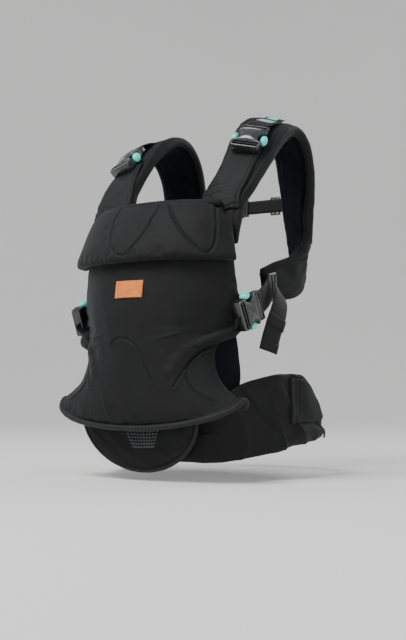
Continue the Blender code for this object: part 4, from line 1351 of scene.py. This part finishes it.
def dress_hardware():
    """Gives the buckles, sliders and buttons their plastic, and softens their edges."""
    for name, obj in NODES.items():
        if obj.hide_render:
            continue
        button = "_button_" in name
        plain_frame = "_slider_" in name or name.endswith("_adjuster")
        obj.data.materials.clear()
        obj.data.materials.append(TURQUOISE if button else RIM if plain_frame else PLASTIC)
        obj.data.shade_smooth()
        obj.modifiers.new("weld", "WELD").merge_threshold = WELD_DISTANCE
        if button:
            rounded = obj.modifiers.new("round", "SUBSURF")
            rounded.levels = rounded.render_levels = 2
        else:
            bevel = obj.modifiers.new("edges", "BEVEL")
            bevel.width = EDGE_ROUNDING
            bevel.segments = 3
            bevel.limit_method = "ANGLE"
            bevel.angle_limit = radians(28)
            bevel.harden_normals = True


# ---------------------------------------------------------------- stage, lights and camera

def make_stage():
    """A pale floor that curves up into a plain backdrop all round."""
    made, tree, shader = shader_tree("stage_pale")
    shader.inputs["Base Color"].default_value = (0.78, 0.78, 0.77, 1)
    shader.inputs["Roughness"].default_value = 0.9
    shader.inputs["Specular IOR Level"].default_value = 0.1
    floor = CAD_BOX[0][2] - 0.012
    profile = [(FLOOR_RADIUS / 2, 0), (FLOOR_RADIUS, 0)]
    profile += [(FLOOR_RADIUS + WALL_BEND * sin(a), WALL_BEND * (1 - cos(a)))
                for a in np.linspace(0.12, pi / 2, 12)]
    profile += [(FLOOR_RADIUS + WALL_BEND, height) for height in (3.0, WALL_TOP)]
    bm = bmesh.new()
    turns = 96
    rings = [[bm.verts.new((r * cos(2 * pi * k / turns), r * sin(2 * pi * k / turns), floor + z))
              for k in range(turns)] for r, z in profile]
    middle = bm.verts.new((0, 0, floor))
    for k in range(turns):
        bm.faces.new((middle, rings[0][k], rings[0][(k + 1) % turns]))
        for ring, following in zip(rings, rings[1:]):
            m = (k + 1) % turns
            bm.faces.new((ring[k], following[k], following[m], ring[m]))
    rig.stage(finished("floor", bm, made))


def area_light(name, place, target, size, power, colour=(1, 1, 1)):
    data = bpy.data.lights.new(name, "AREA")
    data.shape = "RECTANGLE"
    data.size, data.size_y = size
    data.energy = power
    data.color = colour
    lamp = bpy.data.objects.new(name, data)
    lamp.location = place
    lamp.rotation_euler = (Vector(target) - Vector(place)).to_track_quat("-Z", "Y").to_euler()
    bpy.context.scene.collection.objects.link(lamp)


def make_lights():
    """Soft studio light: a big box overhead in front, a fill from the side and a rim from behind."""
    area_light("key", (-0.4, -1.7, 2.5), (0, 0, 0.20), (1.6, 1.2), 104)
    area_light("fill", (2.3, -0.9, 0.9), (0, 0, 0.15), (1.2, 1.4), 11)
    area_light("rim", (0.9, 2.2, 1.7), (0, 0, 0.25), (1.6, 0.9), 22)
    area_light("side", (-2.2, 0.3, 1.2), (0, 0, 0.15), (1.0, 1.4), 6)
    world = bpy.data.worlds.new("studio")
    world.use_nodes = True
    world.node_tree.nodes["Background"].inputs["Color"].default_value = (0.80, 0.82, 0.85, 1)
    world.node_tree.nodes["Background"].inputs["Strength"].default_value = 0.46
    bpy.context.scene.world = world


def make_camera():
    data = bpy.data.cameras.new("camera")
    data.lens = CAMERA_LENS
    data.clip_start = 0.05
    camera = bpy.data.objects.new("camera", data)
    camera.location = (CAMERA_DISTANCE * sin(CAMERA_TURN), -CAMERA_DISTANCE * cos(CAMERA_TURN), 0)
    camera.rotation_euler = (pi / 2 + CAMERA_PITCH, 0, CAMERA_TURN + CAMERA_ASIDE)
    bpy.context.scene.collection.objects.link(camera)
    bpy.context.scene.camera = camera


make_camera()
make_lights()
make_stage()
make_patch(make_panel())
make_collar()
make_seat()
make_belt()
make_crescent()
make_straps()
make_side_webbing()
make_back_webbing()
dress_buckles()
dress_hardware()

with open("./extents.json", "w") as out:
    json.dump({"cad": [list(c) for c in CAD_BOX], "visual": [list(c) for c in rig.bounds()]}, out)
